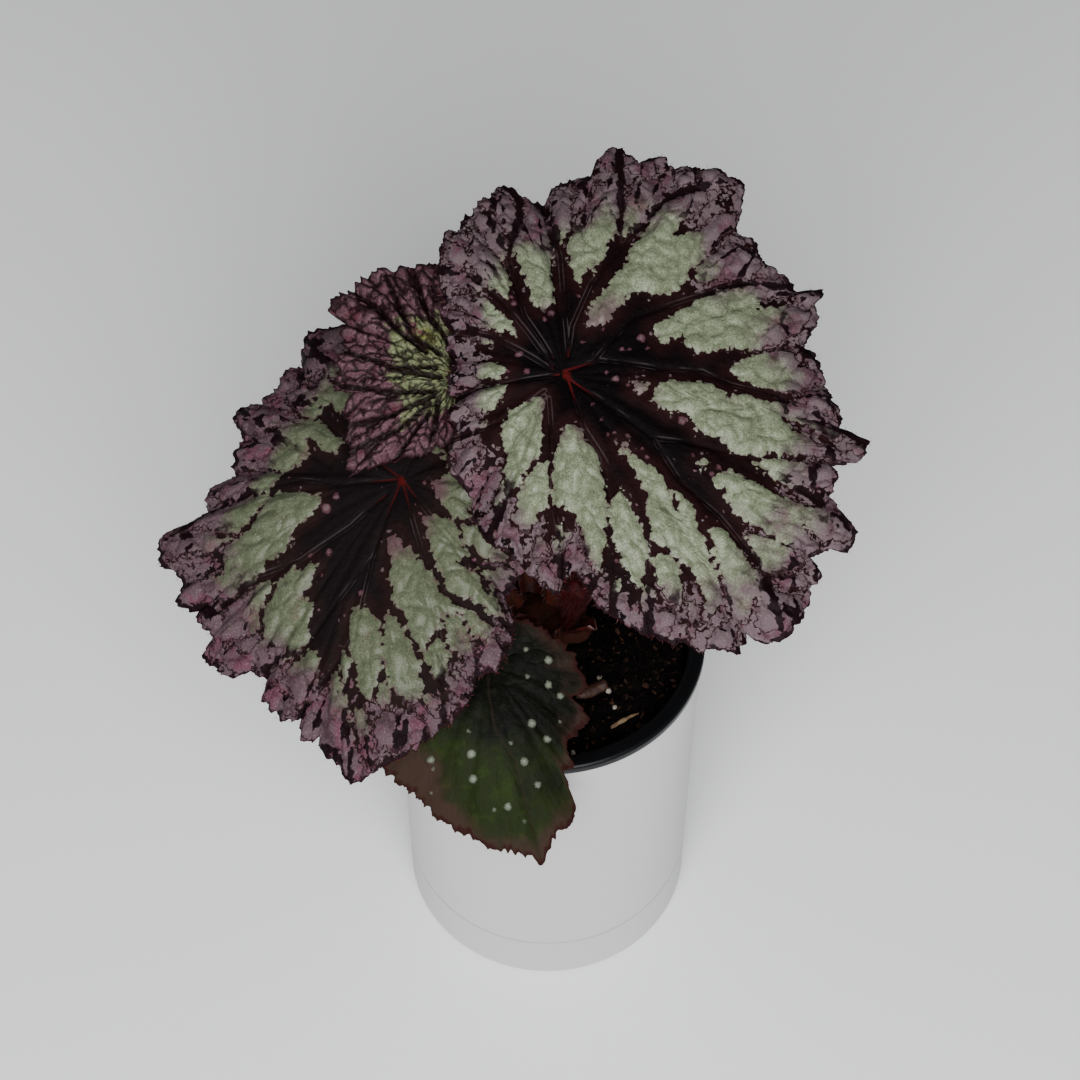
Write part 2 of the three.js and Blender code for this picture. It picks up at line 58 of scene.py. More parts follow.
# Steps between the points of a blade in degrees, for each leaf in mm, and the widths of its small teeth
BEARING_STEP = 0.5
RING_STEPS = (0.75, 0.75, 0.55, 0.6)
FINE_TOOTH = 1.5
BROAD_TOOTH = 3.4

# How far outside an island depth is still measured, and a distance beyond every real one
ISLAND_SEARCH = 8
FAR = 1e6

# Pots and soil, as in the part, the ring of soil that grains are strewn on, and the wood chip
POT_SIDES = 180
POT_HEIGHT = 153
POT_TOP_RADIUS = 53.7
POT_FOOT_RADIUS = 53.4
POT_WALL = 2.7
POT_FLOOR = 4
POT_FOOT_ROUND = 1.8
POT_RIM_ROUND = 0.8
GROOVE_HEIGHT = 24.8
GROOVE_WIDTH = 1.2
GROOVE_DEPTH = 0.5
LINER_RIM_RADIUS = 55
LINER_RIM_TOP = 155.5
LINER_RIM_THICKNESS = 2.2
LINER_SKIRT_DROP = 1.5
LINER_SKIRT_WALL = 1
LINER_TOP_RADIUS = 50.5
LINER_FOOT_RADIUS = 40
LINER_WALL = 1.1
LINER_FOOT = 47
DRAIN_RADIUS = 4
DRAIN_CIRCLE = 26
DRAIN_COUNT = 6
SOIL_LEVEL = 146.5
SOIL_LUMP = 1.1
PATCH_INNER = 14
PATCH_OUTER = 47.2
PATCH_LIFT = 0.1
CHIP = {"x": 26.5, "y": -31, "turn": 28, "length": 11, "width": 1.7}

# Crown: rootstock lumps, papery scales as place, turn, lean, height and width, and what stands there
ROOTSTOCK_LUMPS = [
    ((-1, 13, 147), (15, 8.5, 7)),
    ((-10, 17, 146.5), (9, 7.5, 6)),
    ((6, 8, 147), (10, 7, 7.5)),
]
SCALES = [
    ((-8, 8, 149), -120, 24, 19, 10),
    ((0, 4, 149.5), -84, 34, 21, 11),
    ((10, 4, 149.5), -48, 30, 17, 9),
    ((-14, 14, 149), 178, 42, 15, 9),
    ((10, 13, 149.5), 22, 30, 16, 9),
    ((-6, 21, 149.5), 96, 26, 16, 10),
]
SCALE_THICKNESS = 0.9
FALLEN = {"x": 20, "y": -16, "turn": 120, "height": 13, "width": 6}
FURLED = {"foot": (6, 6, 145), "lean": (0.07, -0.22, 0.97), "radius": 1.7}
FURLED_PROFILE = [
    (0, 0), (1, 0), (1, 0.46), (1.5, 0.54), (2.3, 0.66), (3.0, 0.78), (2.9, 0.9), (1.8, 0.98), (0, 1),
]
FURLED_HEIGHT = 50
FURLED_CREASE = 0.16
STEMS = [
    {"name": "stem_large", "foot": (2, 15, 146), "start": (0, 0.1, 1), "radius": 3.2, "ease": (45, 40)},
    {"name": "stem_left", "foot": (-9, 15, 146), "start": (-0.35, 0, 1), "radius": 2.8, "ease": (30, 26)},
    {"name": "stem_young", "foot": (-6, 22, 146), "start": (-0.1, 0.25, 1), "radius": 2, "ease": (35, 30)},
    {"name": "stem_front", "foot": (-5, 6, 146), "start": (-0.3, -0.2, 1), "radius": 1.8, "ease": (12, 20)},
]

# Hairs: how many on a square metre, their length and thickness in metres, and their seeds
STEM_HAIRS = {"Density": 650000.0, "Length": 0.0022, "Thickness": 0.00005}
MARGIN_HAIRS = {"Density": 900000.0, "Length": 0.0016, "Thickness": 0.00008}
FURLED_HAIRS = {"Density": 2400000.0, "Length": 0.0026, "Thickness": 0.00008}
STEM_SEEDS = (3, 4, 5, 6)
MARGIN_SEEDS = (20, 21)
FURLED_SEED = 31

# Grains on the soil: how many on a square metre, and their sizes in metres
CRUMBS = {
    "Density": 375000.0,
    "Smallest": (0.0008, 0.0006, 0.0005),
    "Largest": (0.0026, 0.0018, 0.0013),
    "Roughness": 0.35,
}
FLAKES = {
    "Density": 60000.0,
    "Smallest": (0.0014, 0.0008, 0.0005),
    "Largest": (0.004, 0.0022, 0.001),
    "Roughness": 0.3,
}
WHITE_GRAINS = {
    "Density": 4200.0,
    "Smallest": (0.0014, 0.0013, 0.0011),
    "Largest": (0.003, 0.0028, 0.0024),
    "Roughness": 0.3,
}

# Materials: depth of a bump in metres, and what each blade's points know
BUMP_DEPTH = 0.0006
LEAF_VALUES = ("island", "spot", "cushion", "rib", "edge", "share", "upper")

# Leaves: how each stands, its margin as bearing and reach, its main ribs and its pale islands
LARGE_LEAF = {
    "name": "large_leaf_blade",
    "slot": "leaf",
    "teeth": 1.3,
    "dome": 1.8,
    "quilt": 1.8,
    "quilt_size": [7.5, 7.5],
    "calm": 22,
    "groove": 0.8,
    "groove_width": 0.9,
    "seed": 1.5,
    "smoothing": 0,
    "node": "leaf_large",
    "attach": (5.5, 32, 260),
    "facing": (0.12, -0.3, 0.95),
    "droop": [(0, 12, 0), (1, 4, 215), (5, 2, 20)],
    "puff": 3,
    "margin": [
        (-178, 37.5), (-170.5, 36), (-161, 39), (-152.5, 38.5), (-146, 43.5), (-138, 46.5),
        (-131.5, 46.5), (-125, 47), (-122.5, 51.5), (-117, 55.5), (-111, 59), (-107, 59.5),
        (-98.5, 65.5), (-93.5, 69.5), (-89.5, 73), (-88.5, 67), (-85, 64), (-82, 71),
        (-80.5, 76.5), (-77, 80), (-74.5, 83.5), (-71.5, 87.5), (-69, 89.5), (-66.5, 94),
        (-63.5, 96), (-62.5, 99.5), (-59.5, 100.5), (-56, 106), (-52.5, 102.5), (-51.5, 106.5),
        (-49, 110), (-44, 109.5), (-39.5, 107), (-38.5, 105), (-35, 105), (-34, 99), (-31.5, 101),
        (-29.5, 108), (-25, 107.5), (-21.5, 95), (-17.5, 95), (-15.5, 93), (-13, 100), (-8, 103.5),
        (-6.5, 93.5), (-2, 91), (3, 87.5), (5, 89), (7, 86.5), (8.5, 87.5), (13, 83), (15, 86),
        (19, 91.5), (21.5, 91.5), (24.5, 97.5), (26, 88), (32, 84.5), (35.5, 81.5), (41.5, 84.5),
        (44.5, 80.5), (46, 84), (48.5, 90.5), (51.5, 97), (54.5, 94.5), (58.5, 94), (60, 90.5),
        (63, 90), (65, 86.5), (67.5, 90), (70, 89.5), (73, 84), (75.5, 86.5), (78.5, 89.5),
        (81, 86.5), (82.5, 83.5), (83.5, 75.5), (87.5, 74), (93.5, 71), (95.5, 65), (100.5, 66.5),
        (103.5, 71), (106, 74.5), (111, 70), (114.5, 69.5), (117.5, 67), (120.5, 67), (125, 62),
        (126.5, 65), (131.5, 61.5), (134, 60), (138, 56.5), (141.5, 53), (145, 47.5), (150.5, 46),
        (154, 41), (160, 40), (168, 36), (182, 37.5),
    ],
    "ribs": [4, 24, 52, 68, 78.5, 96, 106.5, 118, 140, 160, 186, 212, 238, 263, 292, 308, 320, 335, 351.5],
    "rib_paths": [
        [(0, 1), (2.5, -2), (29, -20.5), (39, -35), (51.5, -44.5), (65, -59.5), (72, -78.5)],
        [(29, -20.5), (40.5, -21), (60, -24), (95, -42)],
        [(0, 1.5), (11, 5.5), (31, 4), (45.5, 4.5), (55, 0.5), (69.5, -2), (102, -15.5)],
        [(8.5, 4), (21.5, 20.5), (38, 28.5), (58.5, 38), (87.5, 39.5)],
        [(1, 6.5), (2, 17), (8, 32.5), (21.5, 51.5), (34, 67), (59, 76.5)],
        [(1, 6.5), (-1, 25.5), (-2, 43), (-6.5, 63)],
        [(11, 37.5), (17.5, 49), (18.5, 73), (18, 86)],
        [(-4, 5.5), (-13.5, 19.5), (-19.5, 42), (-26.5, 58.5)],
        [(-19.5, 42), (-16, 54.5), (-15, 64.5), (-20, 71.5)],
        [(-4, 2.5), (-21, 24.5), (-30.5, 33), (-41, 38)],
        [(-4, 1.5), (-22.5, 12), (-38, 18.5)],
        [(-2, 0), (-21, -4), (-35.5, -6)],
        [(-6.5, -6), (-15.5, -14), (-24.5, -18), (-35, -20)],
        [(1, -1), (6.5, -18.5), (12.5, -27.5), (28, -55), (30, -83.5)],
        [(12.5, -27.5), (19, -54.5), (17.5, -76.5)],
        [(-5, -8.5), (-3.5, -28), (-2.5, -44.5), (0, -55), (1, -66)],
        [(-6.5, -8), (-12.5, -26.5), (-18, -42), (-22, -53.5)],
    ],
    "islands": [
        [(-40, 48), (-36, 46), (-32, 42), (-32, 37), (-36, 38), (-41, 40)],
        [(-40, 38), (-36, 38), (-32, 34), (-26, 30), (-28, 28), (-30, 28), (-40, 34)],
        [(-34, 52), (-25, 44), (-19, 36), (-18, 32), (-19, 24), (-26, 30), (-31, 36), (-32, 48)],
        [(-30, 59), (-24, 58), (-22, 54), (-19, 44), (-20, 40), (-24, 44), (-29, 52), (-30, 56)],
        [(-29, 62), (-22, 68), (-19, 66), (-16, 60), (-16, 50), (-18, 48), (-24, 58), (-26, 60)],
        [
            (-13, 64), (-10, 65), (-7, 61), (-4, 46), (-5, 36), (-4, 30), (-4, 24), (-8, 22),
            (-10, 22), (-12, 25), (-12, 28), (-16, 37), (-18, 43), (-18, 48), (-15, 52),
        ],
        [(-4, 68), (-2, 70), (0, 68), (2, 65), (2, 53), (-2, 46), (-6, 55), (-6, 60)],
        [(3, 72), (6, 74), (11, 74), (10, 72), (8, 70), (8, 66), (2, 56), (2, 63), (4, 68)],
        [
            (13, 72), (16, 76), (18, 75), (20, 69), (16, 50), (14, 48), (12, 41), (10, 40),
            (9, 36), (7, 38), (4, 31), (1, 38), (0, 45), (2, 55), (10, 69),
        ],
        [(12, 84), (17, 87), (18, 78), (14, 77), (12, 80)],
        [(22, 71), (30, 75), (32, 73), (33, 68), (32, 64), (24, 55), (18, 50), (18, 54)],
        [(20, 79), (26, 82), (30, 82), (31, 78), (28, 74), (22, 76)],
        [(36, 76), (39, 78), (44, 78), (45, 75), (42, 72), (38, 71), (36, 74)],
        [(46, 78), (49, 80), (58, 76), (55, 73), (46, 70), (44, 72)],
        [
            (32, 64), (44, 70), (47, 70), (48, 67), (46, 64), (38, 56), (36, 52), (45, 56),
            (50, 62), (54, 64), (58, 64), (58, 60), (57, 56), (54, 55), (42, 40), (40, 36),
            (38, 32), (28, 28), (26, 31), (22, 30), (13, 18), (12, 18), (7, 16), (6, 17), (8, 25),
            (13, 31), (15, 36), (20, 41), (20, 45), (27, 55), (28, 60),
        ],
        [
            (44, 36), (42, 38), (44, 42), (48, 46), (54, 52), (58, 52), (64, 50), (66, 46),
            (64, 42), (62, 40), (46, 36),
        ],
        [
            (30, 15), (28, 18), (31, 20), (46, 32), (60, 38), (63, 40), (73, 42), (78, 38),
            (76, 35), (68, 34), (66, 32), (64, 29), (74, 32), (84, 31), (84, 30), (79, 22),
            (64, 14), (60, 13), (54, 13), (44, 10), (40, 12), (38, 16), (31, 12),
        ],
        [(78, 36), (82, 38), (86, 38), (88, 37), (85, 34), (82, 32), (79, 34)],
        [
            (54, 6), (62, 12), (72, 16), (76, 16), (78, 12), (84, 9), (86, 6), (84, 4), (74, -2),
            (66, 0), (62, 0),
        ],
        [(78, 0), (86, 2), (89, 0), (90, -5), (89, -7), (86, -6), (80, -4)],
        [
            (30, -2), (34, 0), (48, 0), (54, -4), (60, -2), (64, -4), (78, -4), (84, -5),
            (92, -10), (93, -14), (91, -16), (86, -16), (80, -11), (73, -10), (76, -14), (80, -14),
            (84, -18), (91, -18), (92, -20), (92, -22), (89, -24), (86, -22), (82, -22), (60, -24),
            (56, -24), (50, -19), (46, -19), (44, -18), (42, -15), (41, -12), (38, -11), (34, -12),
            (28, -8),
        ],
        [(94, -17), (96, -16), (102, -16), (99, -20), (96, -20)],
        [
            (62, -26), (66, -24), (73, -24), (80, -25), (84, -24), (89, -24), (90, -28), (88, -32),
            (76, -34), (64, -28),
        ],
        [
            (48, -33), (49, -32), (54, -29), (76, -38), (84, -39), (88, -36), (90, -36), (97, -46),
            (96, -48), (94, -50), (86, -50), (80, -47), (77, -43), (82, -50), (86, -52), (84, -54),
            (81, -55), (75, -52), (72, -52), (60, -46), (53, -40), (52, -36), (50, -36),
        ],
        [(60, -50), (62, -49), (74, -52), (80, -58), (78, -60), (76, -61), (67, -62), (64, -58)],
        [(68, -63), (80, -61), (82, -64), (80, -66), (72, -66)],
        [
            (48, -48), (54, -49), (62, -60), (71, -68), (80, -68), (81, -71), (80, -75), (77, -78),
            (74, -80), (64, -80), (64, -76), (64, -71), (63, -71), (63, -74), (62, -78), (56, -76),
            (54, -73), (53, -66), (48, -53),
        ],
        [
            (20, -28), (22, -26), (24, -26), (26, -29), (30, -30), (34, -36), (37, -44), (38, -44),
            (36, -38), (38, -38), (42, -42), (53, -68), (54, -72), (49, -78), (46, -80), (47, -72),
            (43, -64), (32, -56), (29, -54), (26, -38),
        ],
        [
            (29, -60), (32, -58), (34, -58), (37, -60), (39, -62), (40, -71), (40, -74), (38, -74),
            (35, -73), (30, -64),
        ],
        [
            (26, -70), (28, -68), (31, -68), (32, -70), (30, -74), (32, -76), (36, -74), (38, -76),
            (38, -80), (36, -82), (36, -86), (34, -86), (30, -85), (28, -82), (28, -79), (26, -76),
        ],
        [(42, -73), (44, -73), (46, -77), (44, -84), (42, -83), (42, -78)],
        [(48, -86), (50, -82), (57, -76), (60, -77), (58, -80), (58, -83), (56, -87), (51, -88)],
        [
            (0, -18), (3, -17), (6, -19), (7, -22), (10, -25), (14, -36), (15, -56), (13, -65),
            (10, -63), (8, -60), (6, -50), (4, -47), (-3, -44), (-4, -30),
        ],
        [
            (18, -37), (20, -39), (28, -54), (29, -58), (26, -69), (24, -68), (20, -63), (19, -59),
            (16, -54), (15, -44),
        ],
        [
            (-6, -8), (-6, -12), (-7, -20), (-7, -27), (-14, -38), (-16, -40), (-18, -42),
            (-19, -44), (-22, -44), (-21, -40), (-18, -35), (-19, -32), (-18, -30), (-18, -26),
            (-20, -24), (-20, -18), (-18, -14), (-16, -12), (-10, -8),
        ],
        [
            (-6, -30), (-4, -30), (-4, -34), (-4, -44), (-10, -52), (-12, -52), (-16, -50),
            (-13, -38), (-12, -34),
        ],
        [
            (-34, -24), (-32, -24), (-29, -22), (-27, -24), (-26, -27), (-27, -30), (-29, -32),
            (-32, -33), (-34, -31),
        ],
        [(-34, -16), (-32, -14), (-28, -14), (-24, -16), (-24, -18), (-27, -19), (-34, -18)],
        [(-30, -4), (-28, -3), (-18, -4), (-20, -10), (-22, -12), (-26, -13), (-30, -12), (-32, -9)],
        [(-30, 4), (-27, 5), (-23, 5), (-18, 1), (-20, -1), (-23, -2), (-26, -2), (-28, 0)],
        [(-30, 14), (-28, 15), (-23, 11), (-26, 10), (-28, 12), (-30, 13)],
        [
            (-37, 27), (-36, 30), (-33, 28), (-26, 26), (-18, 17), (-16, 14), (-16, 12), (-20, 14),
            (-23, 14), (-29, 17), (-33, 23),
        ],
        [(-38, 23), (-36, 24), (-32, 22), (-30, 16), (-36, 17), (-38, 20)],
        [(0, -50), (0, -52), (4, -52), (1, -60), (-2, -60), (-3, -58), (-1, -54), (-2, -50)],
        [(-8, -54), (-6, -53), (-4, -55), (-4, -59), (-8, -60), (-9, -59)],
        [(-6, -62), (-4, -62), (0, -68), (0, -71), (-2, -71), (-7, -66)],
        [(12, -73), (14, -72), (16, -74), (14, -77), (12, -76)],
        [(17, -68), (19, -66), (20, -68), (20, -71), (17, -72)],
        [(22, -2), (24, -1), (27, -2), (28, -4), (26, -6), (23, -6), (22, -5)],
        [(17, -23), (20, -21), (20, -22), (21, -25), (19, -28), (18, -26)],
        [(43, -28), (46, -26), (48, -28), (47, -30), (44, -30)],
    ],
    "dots": [
        (-5, 20.5, 1.1), (-7, 18.5, 0.9), (-17, 23.5, 1.1), (-18, 26, 0.9), (-15, 6.5, 1.2),
        (-12.5, 0.5, 1.0), (-18.5, 0.5, 0.9), (12.5, 16, 0.8), (18.5, 9.5, 0.9), (21, 9.5, 0.6),
        (27, 10.5, 0.8), (13.5, 1, 0.9), (16.5, -1, 1.3), (20.5, -3, 0.8), (24.5, 14, 1.5),
        (5.5, 11, 0.6), (4, 27.5, 0.6), (12, -15.5, 0.6), (14, -20.5, 0.7), (16.5, -19.5, 0.7),
        (20.5, -20.5, 0.8), (9, -10.5, 0.6), (38.5, -14, 1.5), (42, -25.5, 0.8), (48.5, -31, 0.8),
        (50.5, -29, 0.9), (25.5, -24.5, 0.6), (27, -27, 0.8), (-24.5, -33, 0.9), (-24, -37.5, 1.2),
        (-26, -42, 1.3), (-20.5, -52.5, 1.5), (-22.5, -48, 1.3), (47, -45.5, 0.6), (9, -67, 1.3),
        (3, -58.5, 1.1), (18.5, -61, 0.9), (9.5, -62, 0.9),
    ],
}

LEFT_LEAF = {
    "name": "left_leaf_blade",
    "slot": "leaf",
    "teeth": 1.3,
    "dome": 1.4,
    "quilt": 1.4,
    "quilt_size": [7.5, 7.5],
    "calm": 22,
    "groove": 0.6,
    "groove_width": 0.9,
    "seed": 7.5,
    "smoothing": 0,
    "node": "leaf_left",
    "attach": (-49, 18, 222),
    "facing": (-0.22, -0.3, 0.93),
    "droop": [(0, 12, 0), (1, 6, 200), (4, 2, 30)],
    "puff": 2.2,
    "margin": [
        (82, 30), (86, 50), (96, 60), (108, 65), (120, 72.5), (123.5, 69.5), (128, 63.5),
        (132, 67.5), (138, 65), (140.5, 67), (144.5, 65.5), (148.5, 71.5), (152.5, 71.5),
        (155, 67), (157, 65), (160.5, 67), (166, 66.5), (168.5, 64.5), (172.5, 72), (176, 74),
        (179, 73), (181, 78.5), (183, 89.5), (184.5, 91.5), (189.5, 93), (192.5, 87.5), (196, 86),
        (198, 90.5), (201.5, 89), (203, 85), (205, 86), (210.5, 84), (212.5, 90.5), (216, 90),
        (222, 87), (224, 81.5), (229, 79.5), (231, 86.5), (238, 88.5), (242, 85.5), (244, 91.5),
        (248, 90), (250, 94.5), (253.5, 96), (257, 101.5), (260.5, 99), (262.5, 95.5), (267, 92),
        (272, 87.5), (276.5, 84), (283, 78), (287, 70), (293, 71.5), (298.5, 67), (303.5, 62.5),
        (307.5, 52), (316.5, 51.5), (330, 50), (344, 48), (354, 43), (364, 38), (374, 33),
        (384, 31), (394, 29), (404, 27), (414, 26), (424, 25), (434, 26), (442, 30),
    ],
    "ribs": [20, 68, 90, 112, 135, 165, 187, 200, 215, 236, 246, 256, 271, 291, 316, 335, 350],
    "rib_paths": [
        [(-0.5, 0.5), (-11, -27.5), (-22.5, -69), (-22.5, -98)],
        [(-6, -5), (-18, -14.5), (-36.5, -23.5), (-51.5, -26), (-66.5, -33.5), (-82.5, -32)],
        [(-0.5, 0.5), (-19.5, 0), (-36, 4.5), (-49.5, 4), (-66, 1.5), (-89, -7.5)],
        [(-0.5, 0.5), (-20, 16.5), (-38.5, 38), (-37.5, 61.5)],
        [(-25.5, 8), (-42.5, 20.5), (-61, 36.5)],
        [(-11.5, -27), (-34.5, -50.5), (-53, -57)],
        [(-0.5, 0.5), (7, -29), (10.5, -55.5), (10, -83.5)],
        [(-0.5, 0.5), (15.5, -23), (27.5, -43), (33, -53)],
        [(-19.5, -53), (-35.5, -70.5), (-40, -75.5)],
    ],
    "islands": [
        [
            (-36, 44), (-32, 41), (-28, 44), (-23, 36), (-19, 40), (-18, 39), (-17, 36), (-18, 32),
            (-20, 29), (-22, 26), (-26, 31), (-29, 30), (-32, 36),
        ],
        [
            (-44, 40), (-36, 42), (-34, 40), (-30, 32), (-29, 30), (-30, 28), (-32, 27), (-36, 28),
            (-38, 31), (-38, 30), (-40, 32), (-43, 36),
        ],
        [
            (-63, 22), (-52, 26), (-48, 24), (-46, 25), (-42, 29), (-39, 29), (-30, 26), (-20, 16),
            (-23, 11), (-27, 13), (-32, 18), (-34, 18), (-33, 14), (-34, 12), (-38, 10), (-42, 8),
            (-45, 10), (-46, 10), (-52, 12), (-62, 14),
        ],
        [
            (-62, 14), (-46, 10), (-44, 8), (-44, 6), (-46, 5), (-48, 2), (-58, 3), (-66, 2),
            (-68, 4), (-72, 6), (-72, 8), (-68, 8), (-65, 9), (-62, 9), (-62, 12),
        ],
        [
            (-72, 2), (-66, 2), (-56, 3), (-48, 2), (-47, 0), (-56, -8), (-58, -10), (-64, -11),
            (-68, -10), (-72, -6), (-76, -5), (-78, -2), (-74, -1),
        ],
        [
            (-47, 1), (-44, 2), (-36, 0), (-30, -2), (-28, -2), (-28, -6), (-31, -8), (-32, -10),
            (-34, -10), (-38, -12), (-40, -18), (-43, -21), (-49, -22), (-51, -26), (-58, -31),
            (-64, -32), (-74, -29), (-73, -26), (-66, -23), (-66, -21), (-66, -15), (-58, -11),
            (-55, -10), (-51, -4), (-48, -2),
        ],
        [
            (-90, -6), (-74, -6), (-71, -8), (-68, -10), (-64, -12), (-58, -11), (-68, -14),
            (-70, -16), (-75, -14), (-78, -15), (-82, -14), (-85, -14), (-89, -12), (-90, -8),
        ],
        [
            (-89, -14), (-80, -16), (-70, -16), (-69, -17), (-74, -18), (-80, -18), (-83, -16),
            (-87, -16),
        ],
        [
            (-80, -24), (-66, -23), (-66, -26), (-67, -28), (-66, -31), (-62, -32), (-66, -32),
            (-74, -30), (-76, -32), (-80, -32), (-84, -30), (-85, -27), (-83, -24),
        ],
        [
            (-54, -30), (-52, -28), (-48, -28), (-47, -30), (-48, -32), (-52, -38), (-53, -44),
            (-59, -46), (-67, -46), (-72, -44), (-77, -35), (-76, -32), (-72, -32), (-68, -32),
            (-67, -38), (-64, -34),
        ],
        [
            (-74, -49), (-72, -46), (-69, -46), (-67, -48), (-63, -48), (-62, -50), (-58, -52),
            (-55, -49), (-52, -48), (-50, -55), (-53, -57), (-56, -56), (-64, -58), (-68, -52),
            (-72, -52),
        ],
        [
            (-48, -35), (-46, -30), (-39, -25), (-38, -27), (-36, -27), (-33, -24), (-30, -26),
            (-30, -28), (-36, -36), (-33, -38), (-32, -40), (-34, -44), (-34, -50), (-46, -58),
            (-50, -55), (-52, -48), (-52, -42), (-51, -38),
        ],
        [
            (-46, -62), (-44, -61), (-42, -58), (-34, -53), (-31, -57), (-32, -68), (-30, -70),
            (-40, -71),
        ],
        [
            (-54, -66), (-52, -62), (-48, -64), (-40, -72), (-40, -74), (-46, -74), (-50, -71),
            (-53, -69),
        ],
        [
            (-38, -72), (-29, -70), (-28, -64), (-26, -62), (-24, -64), (-22, -72), (-18, -97),
            (-20, -99), (-23, -98), (-28, -92), (-32, -89), (-33, -86), (-37, -84), (-40, -81),
            (-40, -78),
        ],
        [(-24, -56), (-22, -55), (-19, -60), (-22, -67), (-24, -62)],
        [
            (-20, -44), (-18, -42), (-15, -43), (-14, -42), (-9, -48), (-8, -61), (-10, -68),
            (-12, -70), (-14, -74), (-16, -73), (-18, -70), (-18, -62), (-20, -57),
        ],
        [
            (-20, -74), (-16, -76), (-17, -81), (-13, -92), (-14, -95), (-16, -96), (-19, -86),
            (-20, -76),
        ],
        [(-38, 58), (-24, 64), (-22, 62), (-22, 47), (-24, 39), (-30, 46), (-36, 44), (-40, 50)],
        [
            (-47, 48), (-44, 49), (-40, 49), (-37, 44), (-38, 42), (-44, 40), (-44, 38), (-46, 40),
            (-48, 38), (-51, 38),
        ],
        [
            (-62, 36), (-59, 36), (-55, 35), (-52, 36), (-46, 34), (-42, 32), (-40, 30), (-38, 28),
            (-41, 28), (-46, 26), (-57, 26), (-60, 28), (-62, 32),
        ],
        [
            (10, -2), (16, 0), (25, -4), (26, -8), (24, -10), (24, -12), (22, -14), (26, -16),
            (25, -17), (17, -16), (12, -8),
        ],
        [
            (6, -13), (8, -14), (12, -14), (15, -15), (19, -18), (19, -23), (21, -26), (22, -28),
            (18, -30), (20, -32), (23, -33), (28, -42), (30, -43), (32, -50), (27, -48), (20, -42),
            (19, -43), (14, -40), (12, -35),
        ],
        [(19, -18), (25, -18), (28, -20), (30, -24), (36, -30), (28, -30), (25, -29), (20, -23)],
        [
            (30, -32), (32, -31), (35, -32), (36, -36), (34, -40), (30, -40), (28, -40), (28, -38),
            (24, -32), (28, -33),
        ],
        [
            (-6, -21), (-2, -18), (0, -22), (0, -24), (2, -24), (4, -26), (5, -28), (10, -34),
            (12, -40), (20, -46), (17, -48), (16, -47), (12, -48), (11, -50), (12, -52), (8, -54),
            (6, -58), (4, -58), (2, -56), (-1, -50), (0, -48), (-2, -46), (-5, -41), (-4, -39),
            (-6, -32), (-4, -30),
        ],
        [
            (17, -48), (20, -46), (24, -49), (29, -52), (34, -52), (33, -53), (28, -54), (32, -59),
            (30, -60), (30, -62), (28, -66), (23, -64), (22, -63), (24, -58), (20, -52),
        ],
        [(12, -48), (14, -47), (17, -48), (22, -58), (20, -60), (16, -61), (13, -58), (12, -52)],
        [
            (8, -56), (10, -54), (12, -56), (14, -61), (12, -64), (16, -71), (18, -71), (20, -74),
            (20, -75), (18, -76), (10, -71), (6, -64), (4, -58), (6, -58),
        ],
        [(20, -60), (22, -60), (23, -62), (19, -68), (18, -67), (17, -62)],
        [(14, -65), (16, -66), (20, -72), (18, -72), (16, -71), (15, -68)],
        [
            (-7, -46), (-6, -45), (-4, -46), (4, -62), (3, -66), (5, -69), (4, -71), (5, -73),
            (0, -75), (-4, -72), (-7, -70), (-9, -60),
        ],
        [(-10, -68), (-8, -68), (-6, -73), (-6, -75), (-7, -76), (-10, -76), (-12, -72)],
        [
            (-12, -80), (-11, -78), (-9, -77), (-6, -78), (-5, -79), (-3, -78), (-2, -75),
            (0, -75), (0, -78), (3, -80), (4, -83), (4, -86), (2, -88), (0, -88), (-4, -90),
            (-6, -91), (-10, -88), (-12, -90), (-14, -83),
        ],
        [(3, -74), (5, -72), (7, -74), (8, -75), (8, -80), (6, -80)],
        [(8, -76), (10, -75), (13, -76), (16, -77), (15, -78), (12, -80), (10, -80), (8, -79)],
        [(-18, -76), (-16, -75), (-14, -86), (-15, -89), (-16, -89), (-18, -87)],
        [(10, 12), (13, 12), (14, 9), (13, 6), (11, 8)],
        [(15, 8), (16, 6), (16, 2), (14, 7)],
    ],
    "dots": [
        (-23, -4, 1.4), (-26.5, -7.5, 1.8), (-26, -22.5, 1.5), (-29, -38, 0.6), (-28, -33.5, 0.5),
        (-15, -38, 1.3), (-33, -22.5, 0.8), (-29, -30, 0.6), (7.5, -2, 0.9), (4.5, -9.5, 0.3),
        (10.5, -4.5, 0.5), (-3, -16.5, 0.4),
    ],
}

